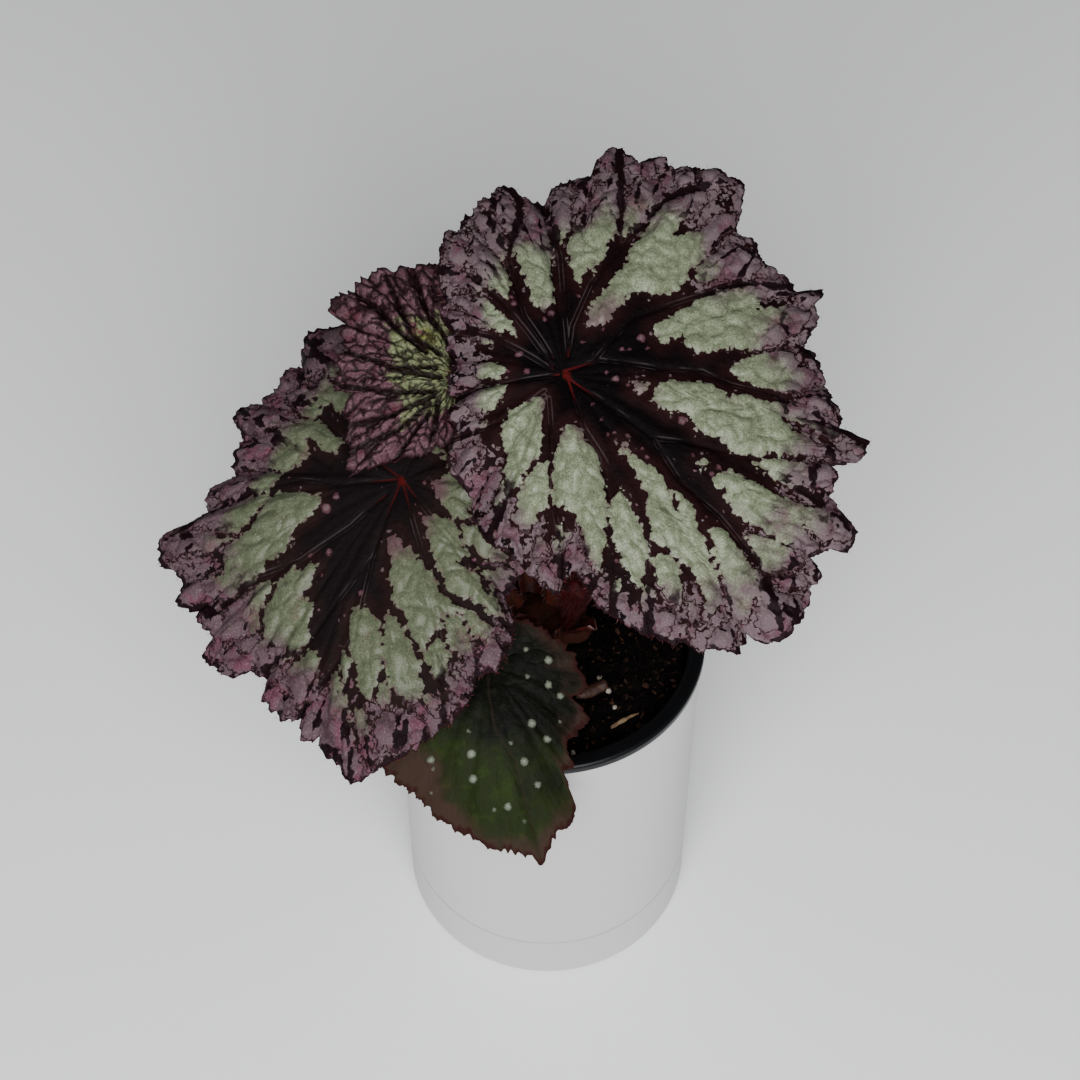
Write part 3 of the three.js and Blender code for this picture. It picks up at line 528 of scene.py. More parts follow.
YOUNG_LEAF = {
    "name": "young_leaf_blade",
    "slot": "leaf",
    "teeth": 1.6,
    "dome": 0.0,
    "quilt": 1.9,
    "quilt_size": [2.3, 5.2],
    "calm": 8,
    "groove": 2.0,
    "groove_width": 1.4,
    "seed": 12.5,
    "smoothing": 0,
    "node": "leaf_young",
    "attach": (-30.5, 42.5, 246),
    "facing": (-0.06, -0.3, 0.95),
    "droop": [(0, 7, 0), (5, 1.5, 0)],
    "puff": 4,
    "margin": [
        (-66, 22), (-54, 26), (-35, 26), (-15, 28), (0, 30), (20, 34), (40, 37), (60, 39),
        (80, 41), (98.5, 41.5), (102.5, 45), (108, 43.5), (111.5, 45), (116.5, 47), (122.5, 49),
        (127, 50), (132, 51), (135.5, 50.5), (143.5, 53), (147.5, 52.5), (149, 45), (154.5, 44),
        (161, 40), (176, 42), (184, 40), (186, 35), (193.5, 40), (202.5, 39), (206.5, 42),
        (214, 42.5), (217.5, 48), (222, 47.5), (226.5, 40), (230, 34.5), (242.5, 30),
        (251.5, 24.5), (262, 22), (275, 21), (286, 20),
    ],
    "ribs": [0, 30, 60, 82, 103, 112, 119, 127, 135, 148, 155, 177, 194, 207, 219, 229, 244, 330],
    "rib_paths": [
        [(0, 0), (-3, 13), (-10.5, 24), (-14.5, 38)],
        [(-5.5, 8.5), (-15, 15), (-19, 25), (-24.5, 38.5)],
        [(-10.5, 9.5), (-19, 17), (-28, 28), (-37, 35)],
        [(-7, 4), (-20.5, 3.5), (-27.5, 7), (-38, 11.5)],
        [(-5.5, 0.5), (-22, 3)],
        [(-7, -5), (-25.5, -4), (-39, -1)],
        [(-8, -6.5), (-20.5, -12), (-36, -14.5)],
        [(-9, -9), (-18, -17), (-35, -23)],
        [(-9, -12), (-24, -30.5)],
        [(-6, -8.5), (-8.5, -21)],
    ],
    "islands": [],
    "dots": [],
}

FRONT_LEAF = {
    "name": "front_leaf_blade",
    "slot": "green_leaf",
    "teeth": 1.3,
    "dome": 0.1,
    "quilt": 0.3,
    "quilt_size": [5.0, 5.0],
    "calm": 8,
    "groove": 0.25,
    "groove_width": 1.1,
    "seed": 18.5,
    "smoothing": 20,
    "node": "leaf_front",
    "attach": (-20, -33, 186),
    "facing": (0, -0.4, 0.917),
    "droop": [(0, 8, 0), (1, 8, 250)],
    "puff": 0.8,
    "margin": [
        (99, 16), (106, 22), (118, 28), (135, 34), (158, 41), (182, 46), (206, 49), (221.5, 48.5),
        (228.5, 48), (236, 48.5), (239.5, 48), (246, 50), (256, 53.5), (262, 55), (267, 57),
        (271, 59.5), (275.5, 60), (279.5, 62.5), (282.5, 63.5), (285, 67), (288.5, 63),
        (293.5, 58), (298, 58), (303, 53.5), (304.5, 48), (306, 43.5), (312, 42.5), (314, 37.5),
        (321, 36), (334, 37), (340.5, 30.5), (350.5, 33.5), (361, 29), (370.5, 29), (372.5, 27),
        (381, 26), (384, 23.5), (393.5, 22.5), (405, 20), (420, 19), (435, 18), (447, 16),
        (453, 14),
    ],
    "ribs": [30, 60, 140, 180, 210, 243, 261, 274, 286, 302, 309, 328, 344],
    "rib_paths": [
        [(0, -2), (0, -8.5), (2.5, -21.5), (9, -31.5), (17.5, -63)],
    ],
    "islands": [],
    "dots": [
        (20, 2, 1.3), (20, -6, 1.3), (24, -9.5, 1.2), (14.5, -19, 1.4), (19.5, -24, 1.3),
        (12, -31.5, 1.4), (-5.5, -29, 1.5), (-5, -37, 1.4), (6.5, -46, 1.4), (-19, -30.5, 1.2),
        (16.5, -39, 1.1), (12.5, 5.5, 0.7), (13, -3.5, 0.7), (-18.5, -33.5, 0.7), (-19, -41, 0.6),
        (7.5, -25.5, 0.7), (-6.5, -21.5, 0.7), (12, -50.5, 0.7), (2, -47, 0.7), (24, -18, 0.7),
    ],
}


# Leaf forms


def margin_reach(leaf, bearing):
    """Distance from the stem to the margin along bearings, each edge between two teeth bowed out a little."""
    rows = np.array(leaf["margin"], float)
    low, high = rows[0, 0], rows[-1, 0]
    turn = low + np.mod(bearing - low, 360) if high - low >= 360 else np.clip(bearing, low, high)
    i = np.clip(np.searchsorted(rows[:, 0], turn, side="right") - 1, 0, len(rows) - 2)
    wide = rows[i + 1, 0] - rows[i, 0]
    t = (turn - rows[i, 0]) / wide
    bow = EDGE_BULGE * np.radians(wide) * rows[i, 1] * np.sin(np.pi * t)
    return rows[i, 1] + t * (rows[i + 1, 1] - rows[i, 1]) + bow


def puff_between(ribs, bearing):
    """Below 0 over a main rib and highest half-way between two."""
    around = np.array([ribs[-1] - 360, *ribs, ribs[0] + 360], float)
    turn = np.mod(bearing, 360)
    i = np.clip(np.searchsorted(around, turn, side="right") - 1, 0, len(around) - 2)
    t = (turn - around[i]) / (around[i + 1] - around[i])
    return np.maximum(np.sin(np.pi * t), 0) ** 1.3 - 0.35


def blade_height(leaf, share, bearing, reach):
    """Height over the leaf's own plane, at a share of the reach along each bearing."""
    rise = np.zeros_like(bearing)
    for count, depth, phase in leaf["droop"]:
        rise -= depth * np.cos(np.radians(count * (bearing - phase)))
    hollow = STEM_DIP * np.exp(-((share * reach / STEM_DIP_RADIUS) ** 2))
    puff = leaf["puff"] * puff_between(leaf["ribs"], bearing) * share**1.2 * (1 - 0.3 * share)
    return rise * share * share - hollow + puff


def even_reach(leaf, bearing):
    """The reach averaged over the bearings nearby, so that deep teeth do not fold the blade."""
    sweep = leaf["smoothing"]
    return np.mean([margin_reach(leaf, bearing + d) for d in np.linspace(-sweep, sweep, 9)], 0)


def to_segment(x, y, start, end):
    """Distance from each point to a straight line's nearest place, and that place's share of the line."""
    dx, dy = end[0] - start[0], end[1] - start[1]
    t = np.clip(((x - start[0]) * dx + (y - start[1]) * dy) / (dx * dx + dy * dy or 1), 0, 1)
    return np.hypot(x - start[0] - t * dx, y - start[1] - t * dy), t


def distance_to_paths(x, y, paths):
    """Distance from each point to the nearest of some paths, and how far along that path it lies."""
    best = np.full(len(x), FAR)
    along = np.zeros(len(x))
    for path in paths:
        for i in range(len(path) - 1):
            gap, t = to_segment(x, y, path[i], path[i + 1])
            nearer = gap < best
            best = np.where(nearer, gap, best)
            along = np.where(nearer, (i + t) / (len(path) - 1), along)
    return best, along


def depth_in_islands(x, y, outlines, dots):
    """How deep each point lies in a pale island: mm from its outline, below 0 outside, down to a limit."""
    depth = np.full(len(x), -float(ISLAND_SEARCH))
    for outline in outlines:
        points = np.array(outline, float)
        low = points.min(0) - ISLAND_SEARCH
        high = points.max(0) + ISLAND_SEARCH
        near = (x > low[0]) & (x < high[0]) & (y > low[1]) & (y < high[1])
        px, py = x[near], y[near]
        inside = np.zeros(len(px), bool)
        gap = np.full(len(px), FAR)
        for start, end in zip(np.roll(points, 1, 0), points):
            gap = np.minimum(gap, to_segment(px, py, start, end)[0])
            rise = end[1] - start[1]
            if rise:
                crossing = start[0] + (py - start[1]) * (end[0] - start[0]) / rise
                inside ^= ((start[1] > py) != (end[1] > py)) & (px < crossing)
        depth[near] = np.maximum(depth[near], np.where(inside, gap, -gap))
    for cx, cy, radius in dots:
        depth = np.maximum(depth, radius - np.hypot(x - cx, y - cy))
    return depth


def quilting(leaf, x, y):
    """Rounded cushions, 1 at the middle of each and 0 in the furrows between."""
    across, along = leaf["quilt_size"]
    u, v, w = x / across, y / across, np.zeros(len(x))
    if across != along:
        # Cushions in rows between the rays, wider further out
        radius = np.hypot(x, y)
        turn = np.arctan2(y, x)
        around = 0.35 * radius + 10
        u, v, w = around * np.cos(turn) / across, around * np.sin(turn) / across, radius / along
    cells = np.empty(len(x))
    for i in range(len(x)):
        place = Vector((u[i], v[i], w[i] + leaf["seed"]))
        near = noise.voronoi(place + 0.4 * noise.noise_vector(place * 0.9))[0]
        cells[i] = near[1] - near[0]
    return np.clip(cells / 0.8, 0, 1)


def teeth(leaf, bearing):
    """Uneven small pointed teeth between those of the margin table, in mm along each ray."""
    reach = margin_reach(leaf, bearing)
    size = np.empty(len(bearing))
    for i, turn in enumerate(np.radians(bearing)):
        way = Vector((math.cos(turn), math.sin(turn), 0)) * reach[i] + Vector((0, 0, leaf["seed"]))
        fine, broad = [0.5 - 2.2 * abs(noise.noise(way / width)) for width in (FINE_TOOTH, BROAD_TOOTH)]
        size[i] = fine * 0.4 + broad
    return leaf["teeth"] * size


def ring_plan(leaf, step):
    """Shares of the reach for the rings of points of both faces, and into how many sectors each is cut."""
    rows = leaf["margin"]
    sectors = 8 * round((rows[-1][0] - rows[0][0]) / BEARING_STEP / 8)
    count = 2 * math.ceil(np.mean([reach for _, reach in rows]) / step / 2)
    plan = []
    for k in range(1, count + 1):
        share = k / count
        divide = 4 if share < 0.22 else 2 if share < 0.46 else 1 if share < 0.93 else 0.5
        plan.append((share, round(sectors / divide)))
    under = [(share, min(n, sectors // 2)) for share, n in plan[1::2]]
    return plan, under[:-2] + [(under[-2][0], sectors), plan[-1]]


def fan_points(leaf, plan):
    """Polar coordinates of the centre point and of every ring's points."""
    low, high = leaf["margin"][0][0], leaf["margin"][-1][0]
    shares, bearings = [np.zeros(1)], [np.zeros(1)]
    for share, sectors in plan:
        n = sectors + (high - low < 360)
        shares.append(np.full(n, share))
        bearings.append(low + (high - low) * np.arange(n) / sectors)
    return np.concatenate(shares), np.concatenate(bearings)


def stitch(faces, inner, outer, flip):
    """Triangles between two rows of points, where the outer one has as many steps or twice as many."""

    def add(a, b, c):
        faces.append((a, c, b) if flip else (a, b, c))

    twice = len(outer) > len(inner)
    for i in range(len(inner) - 1):
        if twice:
            add(inner[i], outer[2 * i], outer[2 * i + 1])
            add(inner[i], outer[2 * i + 1], inner[i + 1])
            add(inner[i + 1], outer[2 * i + 1], outer[2 * i + 2])
        else:
            add(inner[i], outer[i], outer[i + 1])
            add(inner[i], outer[i + 1], inner[i + 1])


def fan_faces(faces, plan, full, centre, flip):
    """Close a fan of rings into a face, and give back the rows of point numbers of its rings."""
    rings = []
    start = centre + 1
    for _, sectors in plan:
        row = list(range(start, start + sectors + (not full)))
        start = row[-1] + 1
        rings.append(row + [row[0]] if full else row)
    first = rings[0]
    for a, b in zip(first, first[1:]):
        faces.append((centre, b, a) if flip else (centre, a, b))
    for inner, outer in zip(rings, rings[1:]):
        stitch(faces, inner, outer, flip)
    return rings


def place_points(leaf, *local):
    """From a leaf's own plane to the part's frame, in mm."""
    turn = Vector((0, 0, 1)).rotation_difference(Vector(leaf["facing"]).normalized())
    return np.stack(local, 1) @ np.array(turn.to_matrix()).T + np.array(leaf["attach"])


def new_object(name, data):
    piece = bpy.data.objects.new(name, data)
    bpy.context.scene.collection.objects.link(piece)
    return piece


def plain_mesh(name, points, faces):
    """An object from points in mm and faces."""
    mesh = bpy.data.meshes.new(name)
    mesh.from_pydata([tuple(p) for p in np.array(points, float) * MM], [], faces)
    return new_object(name, mesh)


def dress(piece, replaced=None):
    """Hide the node of the part that a finished piece replaces, if there is one, and hang the piece under the
    root body.
    """
    if replaced:
        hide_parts(replaced)
    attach(piece, "root")


def mesh_piece(name, points, faces, material, sharp=None):
    """A smooth piece in its material, with edges sharper than some degrees kept."""
    piece = plain_mesh(name, points, faces)
    piece.data.validate()
    piece.data.materials.append(material)
    piece.data.shade_smooth()
    if sharp:
        piece.data.set_sharp_from_angle(angle=math.radians(sharp))
    return piece


def add_value(piece, name, values):
    kind, field = ("FLOAT_VECTOR", "vector") if values.ndim == 2 else ("FLOAT", "value")
    made = piece.data.attributes.new(name, kind, "POINT")
    made.data.foreach_set(field, values.astype(np.float32).ravel())


def leaf_surface(leaf, plan):
    """Points of one face of a blade before its thickness, with what its colours need to know."""
    share, bearing = fan_points(leaf, plan)
    reach = margin_reach(leaf, bearing) + teeth(leaf, bearing) * share**8
    radius = share * reach
    x = radius * np.cos(np.radians(bearing))
    y = radius * np.sin(np.radians(bearing))
    rib, along = distance_to_paths(x, y, leaf["rib_paths"])
    island = depth_in_islands(x, y, leaf["islands"], [])
    spot = depth_in_islands(x, y, [], leaf["dots"])
    edge = (1 - share) * reach
    cushion = quilting(leaf, x, y)
    pale = np.clip(island / 4, 0, 1) ** 0.6 if leaf["islands"] else np.ones(len(x))
    inner = np.clip(radius / 6, 0, 1)
    groove = leaf["groove"] * np.exp(-((rib / leaf["groove_width"]) ** 2))
    groove = groove * np.clip(1.3 - along, 0.2, 1) * inner
    calm = np.clip(radius / leaf["calm"], 0, 1) * np.clip(edge / 3, 0.15, 1)
    bumps = leaf["quilt"] * (np.sqrt(cushion) - 0.6) * (0.15 + 0.85 * pale)
    relief = (leaf["dome"] * pale + bumps) * calm - groove + 0.25 * np.clip(spot / 0.8, 0, 1)
    even = even_reach(leaf, bearing) if leaf["smoothing"] else reach
    z = blade_height(leaf, radius / even, bearing, even) + relief
    ridge = 0.9 * np.exp(-((rib / 1.3) ** 2)) * np.clip(1.1 - along, 0.1, 1) * inner
    thin = MARGIN_THINNING / 2 * np.exp(-edge / 1.5)
    values = {"island": island, "spot": spot, "cushion": cushion, "rib": rib, "edge": edge, "share": share}
    values["ray"] = np.stack([x / np.maximum(radius, 0.1), y / np.maximum(radius, 0.1), share], 1)
    return x, y, z, thin, ridge, values


def build_leaf(leaf, step, material):
    """A blade from two fans of rings, joined round the margin and along an open basal slit."""
    plan, under_plan = ring_plan(leaf, step)
    x, y, z, thin, _, values = leaf_surface(leaf, plan)
    top = place_points(leaf, x, y, z - thin)
    x, y, z, thin, ridge, under_values = leaf_surface(leaf, under_plan)
    under = place_points(leaf, x, y, z - BLADE_THICKNESS - ridge + 2 * thin)
    full = leaf["margin"][-1][0] - leaf["margin"][0][0] >= 360
    faces = []
    below = len(top)
    rings = fan_faces(faces, plan, full, 0, False)
    under_rings = fan_faces(faces, under_plan, full, below, True)
    stitch(faces, under_rings[-1], rings[-1], True)
    if not full:
        for side, flip in ((0, True), (-1, False)):
            stitch(faces, [below] + [r[side] for r in under_rings], [0] + [r[side] for r in rings], flip)
    points = np.concatenate([top, under])
    piece = mesh_piece(leaf["name"], points, faces, material)
    for name, value in values.items():
        add_value(piece, name, np.concatenate([value, under_values[name]]))
    add_value(piece, "upper", np.concatenate([np.ones(len(top)), np.zeros(len(under))]))
    dress(piece, leaf["node"])


# Node trees


class Wiring:
    """Short ways to add the nodes of one tree and to join them."""

    def __init__(self, tree):
        self.tree = tree

    def feed(self, socket, value):
        """Link a socket to another node's output, or give it a value of its own."""
        if isinstance(value, bpy.types.NodeSocket):
            self.tree.links.new(value, socket)
        else:
            socket.default_value = value

    def add(self, kind, sockets, **settings):
        """A node with its settings, and what feeds its sockets by name or number."""
        made = self.tree.nodes.new(kind)
        for key, value in settings.items():
            setattr(made, key, value)
        for key, value in sockets.items():
            self.feed(made.inputs[key], value)
        return made

    def math(self, operation, a, b=0.0):
        return self.add("ShaderNodeMath", {0: a, 1: b}, operation=operation).outputs[0]

    def minus(self, a, b):
        return self.math("SUBTRACT", a, b)

    def plus(self, made, *others):
        for other in others:
            made = self.math("ADD", made, other)
        return made

    def times(self, made, *others):
        for other in others:
            made = self.math("MULTIPLY", made, other)
        return made

    def swing(self, value, size):
        """A noise value turned into a push of either sign."""
        return self.times(self.minus(value, 0.5), size)

    def step(self, value, low, high, out_low=0.0, out_high=1.0):
        """A smooth step between two outputs, as a value goes from low to high."""
        sockets = {"Value": value, "From Min": low, "From Max": high, "To Min": out_low, "To Max": out_high}
        return self.add("ShaderNodeMapRange", sockets, interpolation_type="SMOOTHSTEP").outputs["Result"]

    def mix(self, factor, a, b):
        return self.add("ShaderNodeMix", {0: factor, 6: a, 7: b}, data_type="RGBA").outputs[2]

    def over(self, base, colour, value, low, high, amount=1.0):
        """Lay a colour over another where a value steps from low to high."""
        return self.mix(self.step(value, low, high, 0, amount), base, colour)

    def vector(self, operation, a, b, c=(0, 0, 0)):
        return self.add("ShaderNodeVectorMath", {0: a, 1: b, 2: c}, operation=operation).outputs[0]

    def parts_of(self, vector):
        return self.add("ShaderNodeSeparateXYZ", {0: vector}).outputs

    def attribute(self, name):
        return self.add("ShaderNodeAttribute", {}, attribute_name=name).outputs

    def values(self, *names):
        return [self.attribute(name)["Fac"] for name in names]

    def place(self):
        return self.add("ShaderNodeTexCoord", {}).outputs["Object"]

    def noise(self, place, scale, detail=3.0, roughness=0.55, kind="Fac"):
        sockets = {"Scale": scale, "Detail": detail, "Roughness": roughness, "Vector": place}
        return self.add("ShaderNodeTexNoise", sockets).outputs[kind]

    def ray(self):
        """A point's ray as cosine and sine with its share of the reach, together and each alone."""
        vector = self.attribute("ray")["Vector"]
        return vector, *self.parts_of(vector)


class Finish(Wiring):
    """A material's tree with its shader, and the place in the object that its patterns read."""

    def __init__(self, name):
        self.material = bpy.data.materials.new(name)
        self.material.use_nodes = True
        super().__init__(self.material.node_tree)
        self.shader = self.tree.nodes["Principled BSDF"]
        self.at = self.place()

    def give(self, colour, roughness, shine, height=None, strength=0.0, distance=BUMP_DEPTH):
        """Join a colour and a bump to the shader, and give back the material."""
        self.feed(self.shader.inputs["Base Color"], colour)
        self.feed(self.shader.inputs["Roughness"], roughness)
        self.feed(self.shader.inputs["Specular IOR Level"], shine)
        if height is not None:
            sockets = {"Strength": strength, "Distance": distance, "Height": height}
            self.feed(self.shader.inputs["Normal"], self.add("ShaderNodeBump", sockets).outputs["Normal"])
        return self.material


def new_group(name, kind, inputs, outputs):
    """An empty node group with sockets, as its wiring, what it is given and where its outputs go."""
    tree = bpy.data.node_groups.new(name, kind)
    for label, socket_type, value in inputs:
        socket = tree.interface.new_socket(label, in_out="INPUT", socket_type=socket_type)
        if value is not None:
            socket.default_value = value
    for label, socket_type in outputs:
        tree.interface.new_socket(label, in_out="OUTPUT", socket_type=socket_type)
    return Wiring(tree), tree.nodes.new("NodeGroupInput").outputs, tree.nodes.new("NodeGroupOutput").inputs


def rgb(*colour):
    """A colour as it looks on screen, 0 to 255, for a socket."""
    shares = [value / 255 for value in colour]
    return (*[s / 12.92 if s <= 0.04045 else ((s + 0.055) / 1.055) ** 2.4 for s in shares], 1)


# Leaf colours


def rex_markings():
    """Pale puffed islands with lobed outlines on a dark ground, mauve and broken up towards the margin."""
    number = "NodeSocketFloat"
    colour = "NodeSocketColor"
    w, look, out = new_group(
        "rex markings",
        "ShaderNodeTree",
        [
            ("Mauve From", number, 0.6),
            ("Mauve Lean", number, 0.0),
            ("Red Reach", number, 0.12),
            ("Silver", colour, rgb(96, 103, 83)),
            ("Bright", colour, rgb(122, 129, 107)),
            # Painted shade in the silver's furrows and specks
            ("Crevice Shade", colour, rgb(66, 73, 52)),
            # Painted glints on the silver
            ("Glint", colour, rgb(140, 147, 126)),
            ("Mauve", colour, rgb(84, 71, 75)),
            ("Flush", colour, rgb(72, 32, 48)),
            ("Ground", colour, rgb(27, 11, 12)),
            ("Deep", colour, rgb(7, 4, 5)),
            ("Rib", colour, rgb(62, 12, 13)),
            ("Tip", colour, rgb(17, 7, 10)),
            ("Underside", colour, rgb(70, 22, 30)),
        ],
        [("Color", colour), ("Roughness", number), ("Height", number), ("Sparkle", number)],
    )
    place = w.place()
    island, spot, cushion, rib, edge, share, upper = w.values(*LEAF_VALUES)
    broad = w.noise(place, 60)
    uneven = w.noise(place, 190, 2)
    ragged = w.noise(place, 330, 3, 0.6)
    fine = w.noise(place, 1100, 2)
    # Noise that places painted glints where it is high and painted shade specks where it is low
    glint_noise = w.noise(place, 1650, 1)
    grain = w.noise(place, 2600, 2)
    flush = w.noise(place, 110, 2)
    # Cells with uneven outlines, each with a chance of its own
    push = w.noise(place, 420, 2.0, 0.5, "Color")
    bent = w.vector("MULTIPLY_ADD", push, (0.003, 0.003, 0.003), place)
    cells = w.add("ShaderNodeTexVoronoi", {"Scale": 430, "Vector": bent}).outputs
    small_cell = cells["Distance"]
    small_chance = w.add("ShaderNodeSeparateColor", {0: cells["Color"]}).outputs[0]
    lobe = w.times(w.minus(0.45, small_cell), 2.6)
    depth = w.plus(island, lobe, w.swing(ragged, 1.4), w.swing(fine, 0.8))
    pale = w.step(depth, -0.1, 0.1)
    # How far out a point lies, which turns the pattern from silver to mauve
    ray, sideways, backwards, _ = w.ray()
    lean = w.times(w.minus(backwards, sideways), look["Mauve Lean"])
    zone = w.minus(w.plus(w.swing(broad, 0.4), w.swing(ragged, 0.14), share, lean), look["Mauve From"])
    outer = w.step(zone, -0.08, 0.1)
    # Silver inside the islands, with a fine bright grain that is partly painted sparkle, painted glints and
    # painted shade in the furrows between the cushions
    silver = w.over(look["Silver"], look["Bright"], grain, 0.4, 0.7)
    # Painted sparkle: small bright specks on the silver
    silver = w.over(silver, rgb(150, 157, 134), fine, 0.66, 0.74, 0.4)
    # Painted glints, and painted shade specks where the glint noise is low
    silver = w.over(silver, look["Glint"], glint_noise, 0.55, 0.7, 0.5)
    silver = w.over(silver, look["Crevice Shade"], glint_noise, 0.45, 0.3, 0.5)
    furrow = w.plus(cushion, w.swing(fine, 0.4))
    # Painted shade in the furrows between the cushions and at the edges of the small cells
    silver = w.over(silver, look["Crevice Shade"], furrow, 0.25, 0.0, 0.4)
    silver = w.over(silver, look["Crevice Shade"], small_cell, 0.45, 0.75, 0.4)
    silver = w.over(silver, look["Flush"], flush, 0.62, 0.76, 0.3)
    # Mauve towards the margin, with flushes of magenta, a grain that is partly painted sparkle, painted
    # glints and painted shade in the furrows
    mauve = w.over(look["Mauve"], look["Flush"], flush, 0.5, 0.66, 0.7)
    mauve = w.over(mauve, rgb(94, 82, 86), grain, 0.4, 0.7, 0.4)
    # Painted glints on the mauve
    mauve = w.over(mauve, rgb(118, 104, 108), glint_noise, 0.55, 0.72, 0.4)
    # Painted shade in the furrows between the cushions
    mauve = w.over(mauve, rgb(34, 18, 24), furrow, 0.2, 0.0, 0.6)
    inside = w.mix(outer, silver, mauve)
    # Dark cracks at the joins of long cells that follow the rays, in the mauve part of the islands
    long_place = w.vector("MULTIPLY", ray, (8.5, 8.5, 4.2))
    joins = w.add("ShaderNodeTexVoronoi", {"Scale": 1.0, "Vector": long_place}, feature="DISTANCE_TO_EDGE")
    long_cell = w.plus(joins.outputs["Distance"], w.swing(ragged, 0.16), w.swing(uneven, 0.6))
    crack = w.plus(long_cell, w.swing(fine, 0.05), w.swing(broad, -0.25))
    inside = w.mix(w.times(w.step(crack, 0.04, 0.015), outer), inside, look["Tip"])
    heel = w.plus(share, w.swing(ragged, 0.12), w.swing(broad, 0.25))
    pinkish = w.mix(0.4, look["Mauve"], look["Flush"])
    inside = w.over(inside, pinkish, heel, 0.36, 0.26, 0.75)
    rim = w.times(w.step(depth, 0.9, 0.05), w.step(ragged, 0.35, 0.6, 0.1, 0.6))
    inside = w.mix(rim, inside, pinkish)
    # Dark ground: brown-maroon beside the islands, nearly black away from them
    beside = w.times(w.step(island, -6.0, -0.5), w.step(broad, 0.3, 0.6, 0.4, 1.0))
    ground = w.mix(beside, look["Deep"], look["Ground"])
    # Pale patches and dots on the ground: hardly any near the stem, and close together in the mauve zone
    patch = w.plus(long_cell, w.swing(fine, 0.12), w.step(zone, -0.2, 0.14, -0.55, -0.16))
    near = w.plus(w.step(zone, -0.16, 0.14, 0, 0.62), w.step(island, -4.0, -0.6, 0, 0.3))
    dot = w.plus(near, w.times(small_chance, 0.5), w.swing(fine, 0.2), -0.42)
    blot = w.math("MAXIMUM", w.step(patch, -0.015, 0.015), w.step(w.minus(dot, small_cell), -0.04, 0.04))
    off_rib = w.step(w.plus(rib, w.swing(ragged, 3.0)), 1.2, 1.8)
    ground = w.mix(w.times(blot, w.step(depth, -0.25, -0.7), off_rib), ground, mauve)
    face = w.mix(pale, ground, inside)
    # Pinkish spots in the dark ground
    ring = w.plus(spot, w.swing(fine, 1.2), w.swing(ragged, 2.4), -0.1)
    pink = w.over(rgb(64, 38, 45), rgb(84, 68, 71), ring, 0.2, 0.9)
    face = w.over(face, pink, ring, -0.1, 0.12)
    # The ribs are red where they leave the stem and turn dark further out, with painted highlights along
    # their flanks
    out_way = w.minus(share, look["Red Reach"])
    red = w.times(w.step(rib, 0.6, 0.15), w.step(out_way, 0.04, -0.08))
    face = w.mix(red, face, look["Rib"])
    # Painted highlight: thin pale lines along the ribs' flanks
    rib_highlight = w.times(w.step(rib, 0.4, 0.6), w.step(rib, 0.95, 0.7), w.step(out_way, -0.02, 0.06))
    rib_highlight = w.times(rib_highlight, w.step(broad, 0.46, 0.6, 0, 0.42), w.minus(1.0, pale))
    face = w.mix(rib_highlight, face, rgb(70, 62, 64))
    face = w.over(face, rgb(62, 13, 13), share, 0.03, 0.008)
    # Dark lines along the ribs through the mauve zone, and dark tips to the teeth
    vein = w.plus(rib, w.swing(ragged, 4.5), w.swing(uneven, 7.5))
    face = w.mix(w.times(w.step(vein, 1.0, 0.65, 0, 0.95), w.step(zone, -0.12, 0.0)), face, look["Tip"])
    tip = w.plus(edge, w.swing(ragged, 6.0), w.swing(uneven, 9.0))
    face = w.over(face, look["Tip"], tip, 1.3, 0.6, 0.92)
    face = w.over(face, rgb(34, 12, 17), edge, 0.5, 0.15, 0.6)
    back = w.over(look["Underside"], rgb(100, 36, 32), rib, 1.6, 0.7)
    back = w.over(back, rgb(56, 18, 28), ragged, 0.3, 0.7, 0.4)
    w.feed(out["Color"], w.mix(upper, back, face))
    roughness = w.add("ShaderNodeMix", {0: pale, 2: 0.62, 3: 0.5}, data_type="FLOAT").outputs[0]
    w.feed(out["Roughness"], roughness)
    height = w.plus(w.times(pale, 0.35), w.times(fine, 0.35), w.times(grain, 0.4))
    w.feed(out["Height"], w.minus(height, w.times(small_cell, 0.7)))
    w.feed(out["Sparkle"], w.times(pale, w.step(zone, 0.02, -0.1, 0, 0.22)))
    return w.tree


def rex_leaf(name, markings, settings):
    """A leaf's material, which gives its own numbers and colours to the shared markings."""
    f = Finish(name)
    made = f.add("ShaderNodeGroup", {}, node_tree=markings)
    for key, value in settings.items():
        f.feed(made.inputs[key], value)
    f.feed(f.shader.inputs["Coat Weight"], made.outputs["Sparkle"])
    f.feed(f.shader.inputs["Coat Roughness"], 0.28)
    return f.give(made.outputs["Color"], made.outputs["Roughness"], 0.03, made.outputs["Height"], 0.6)


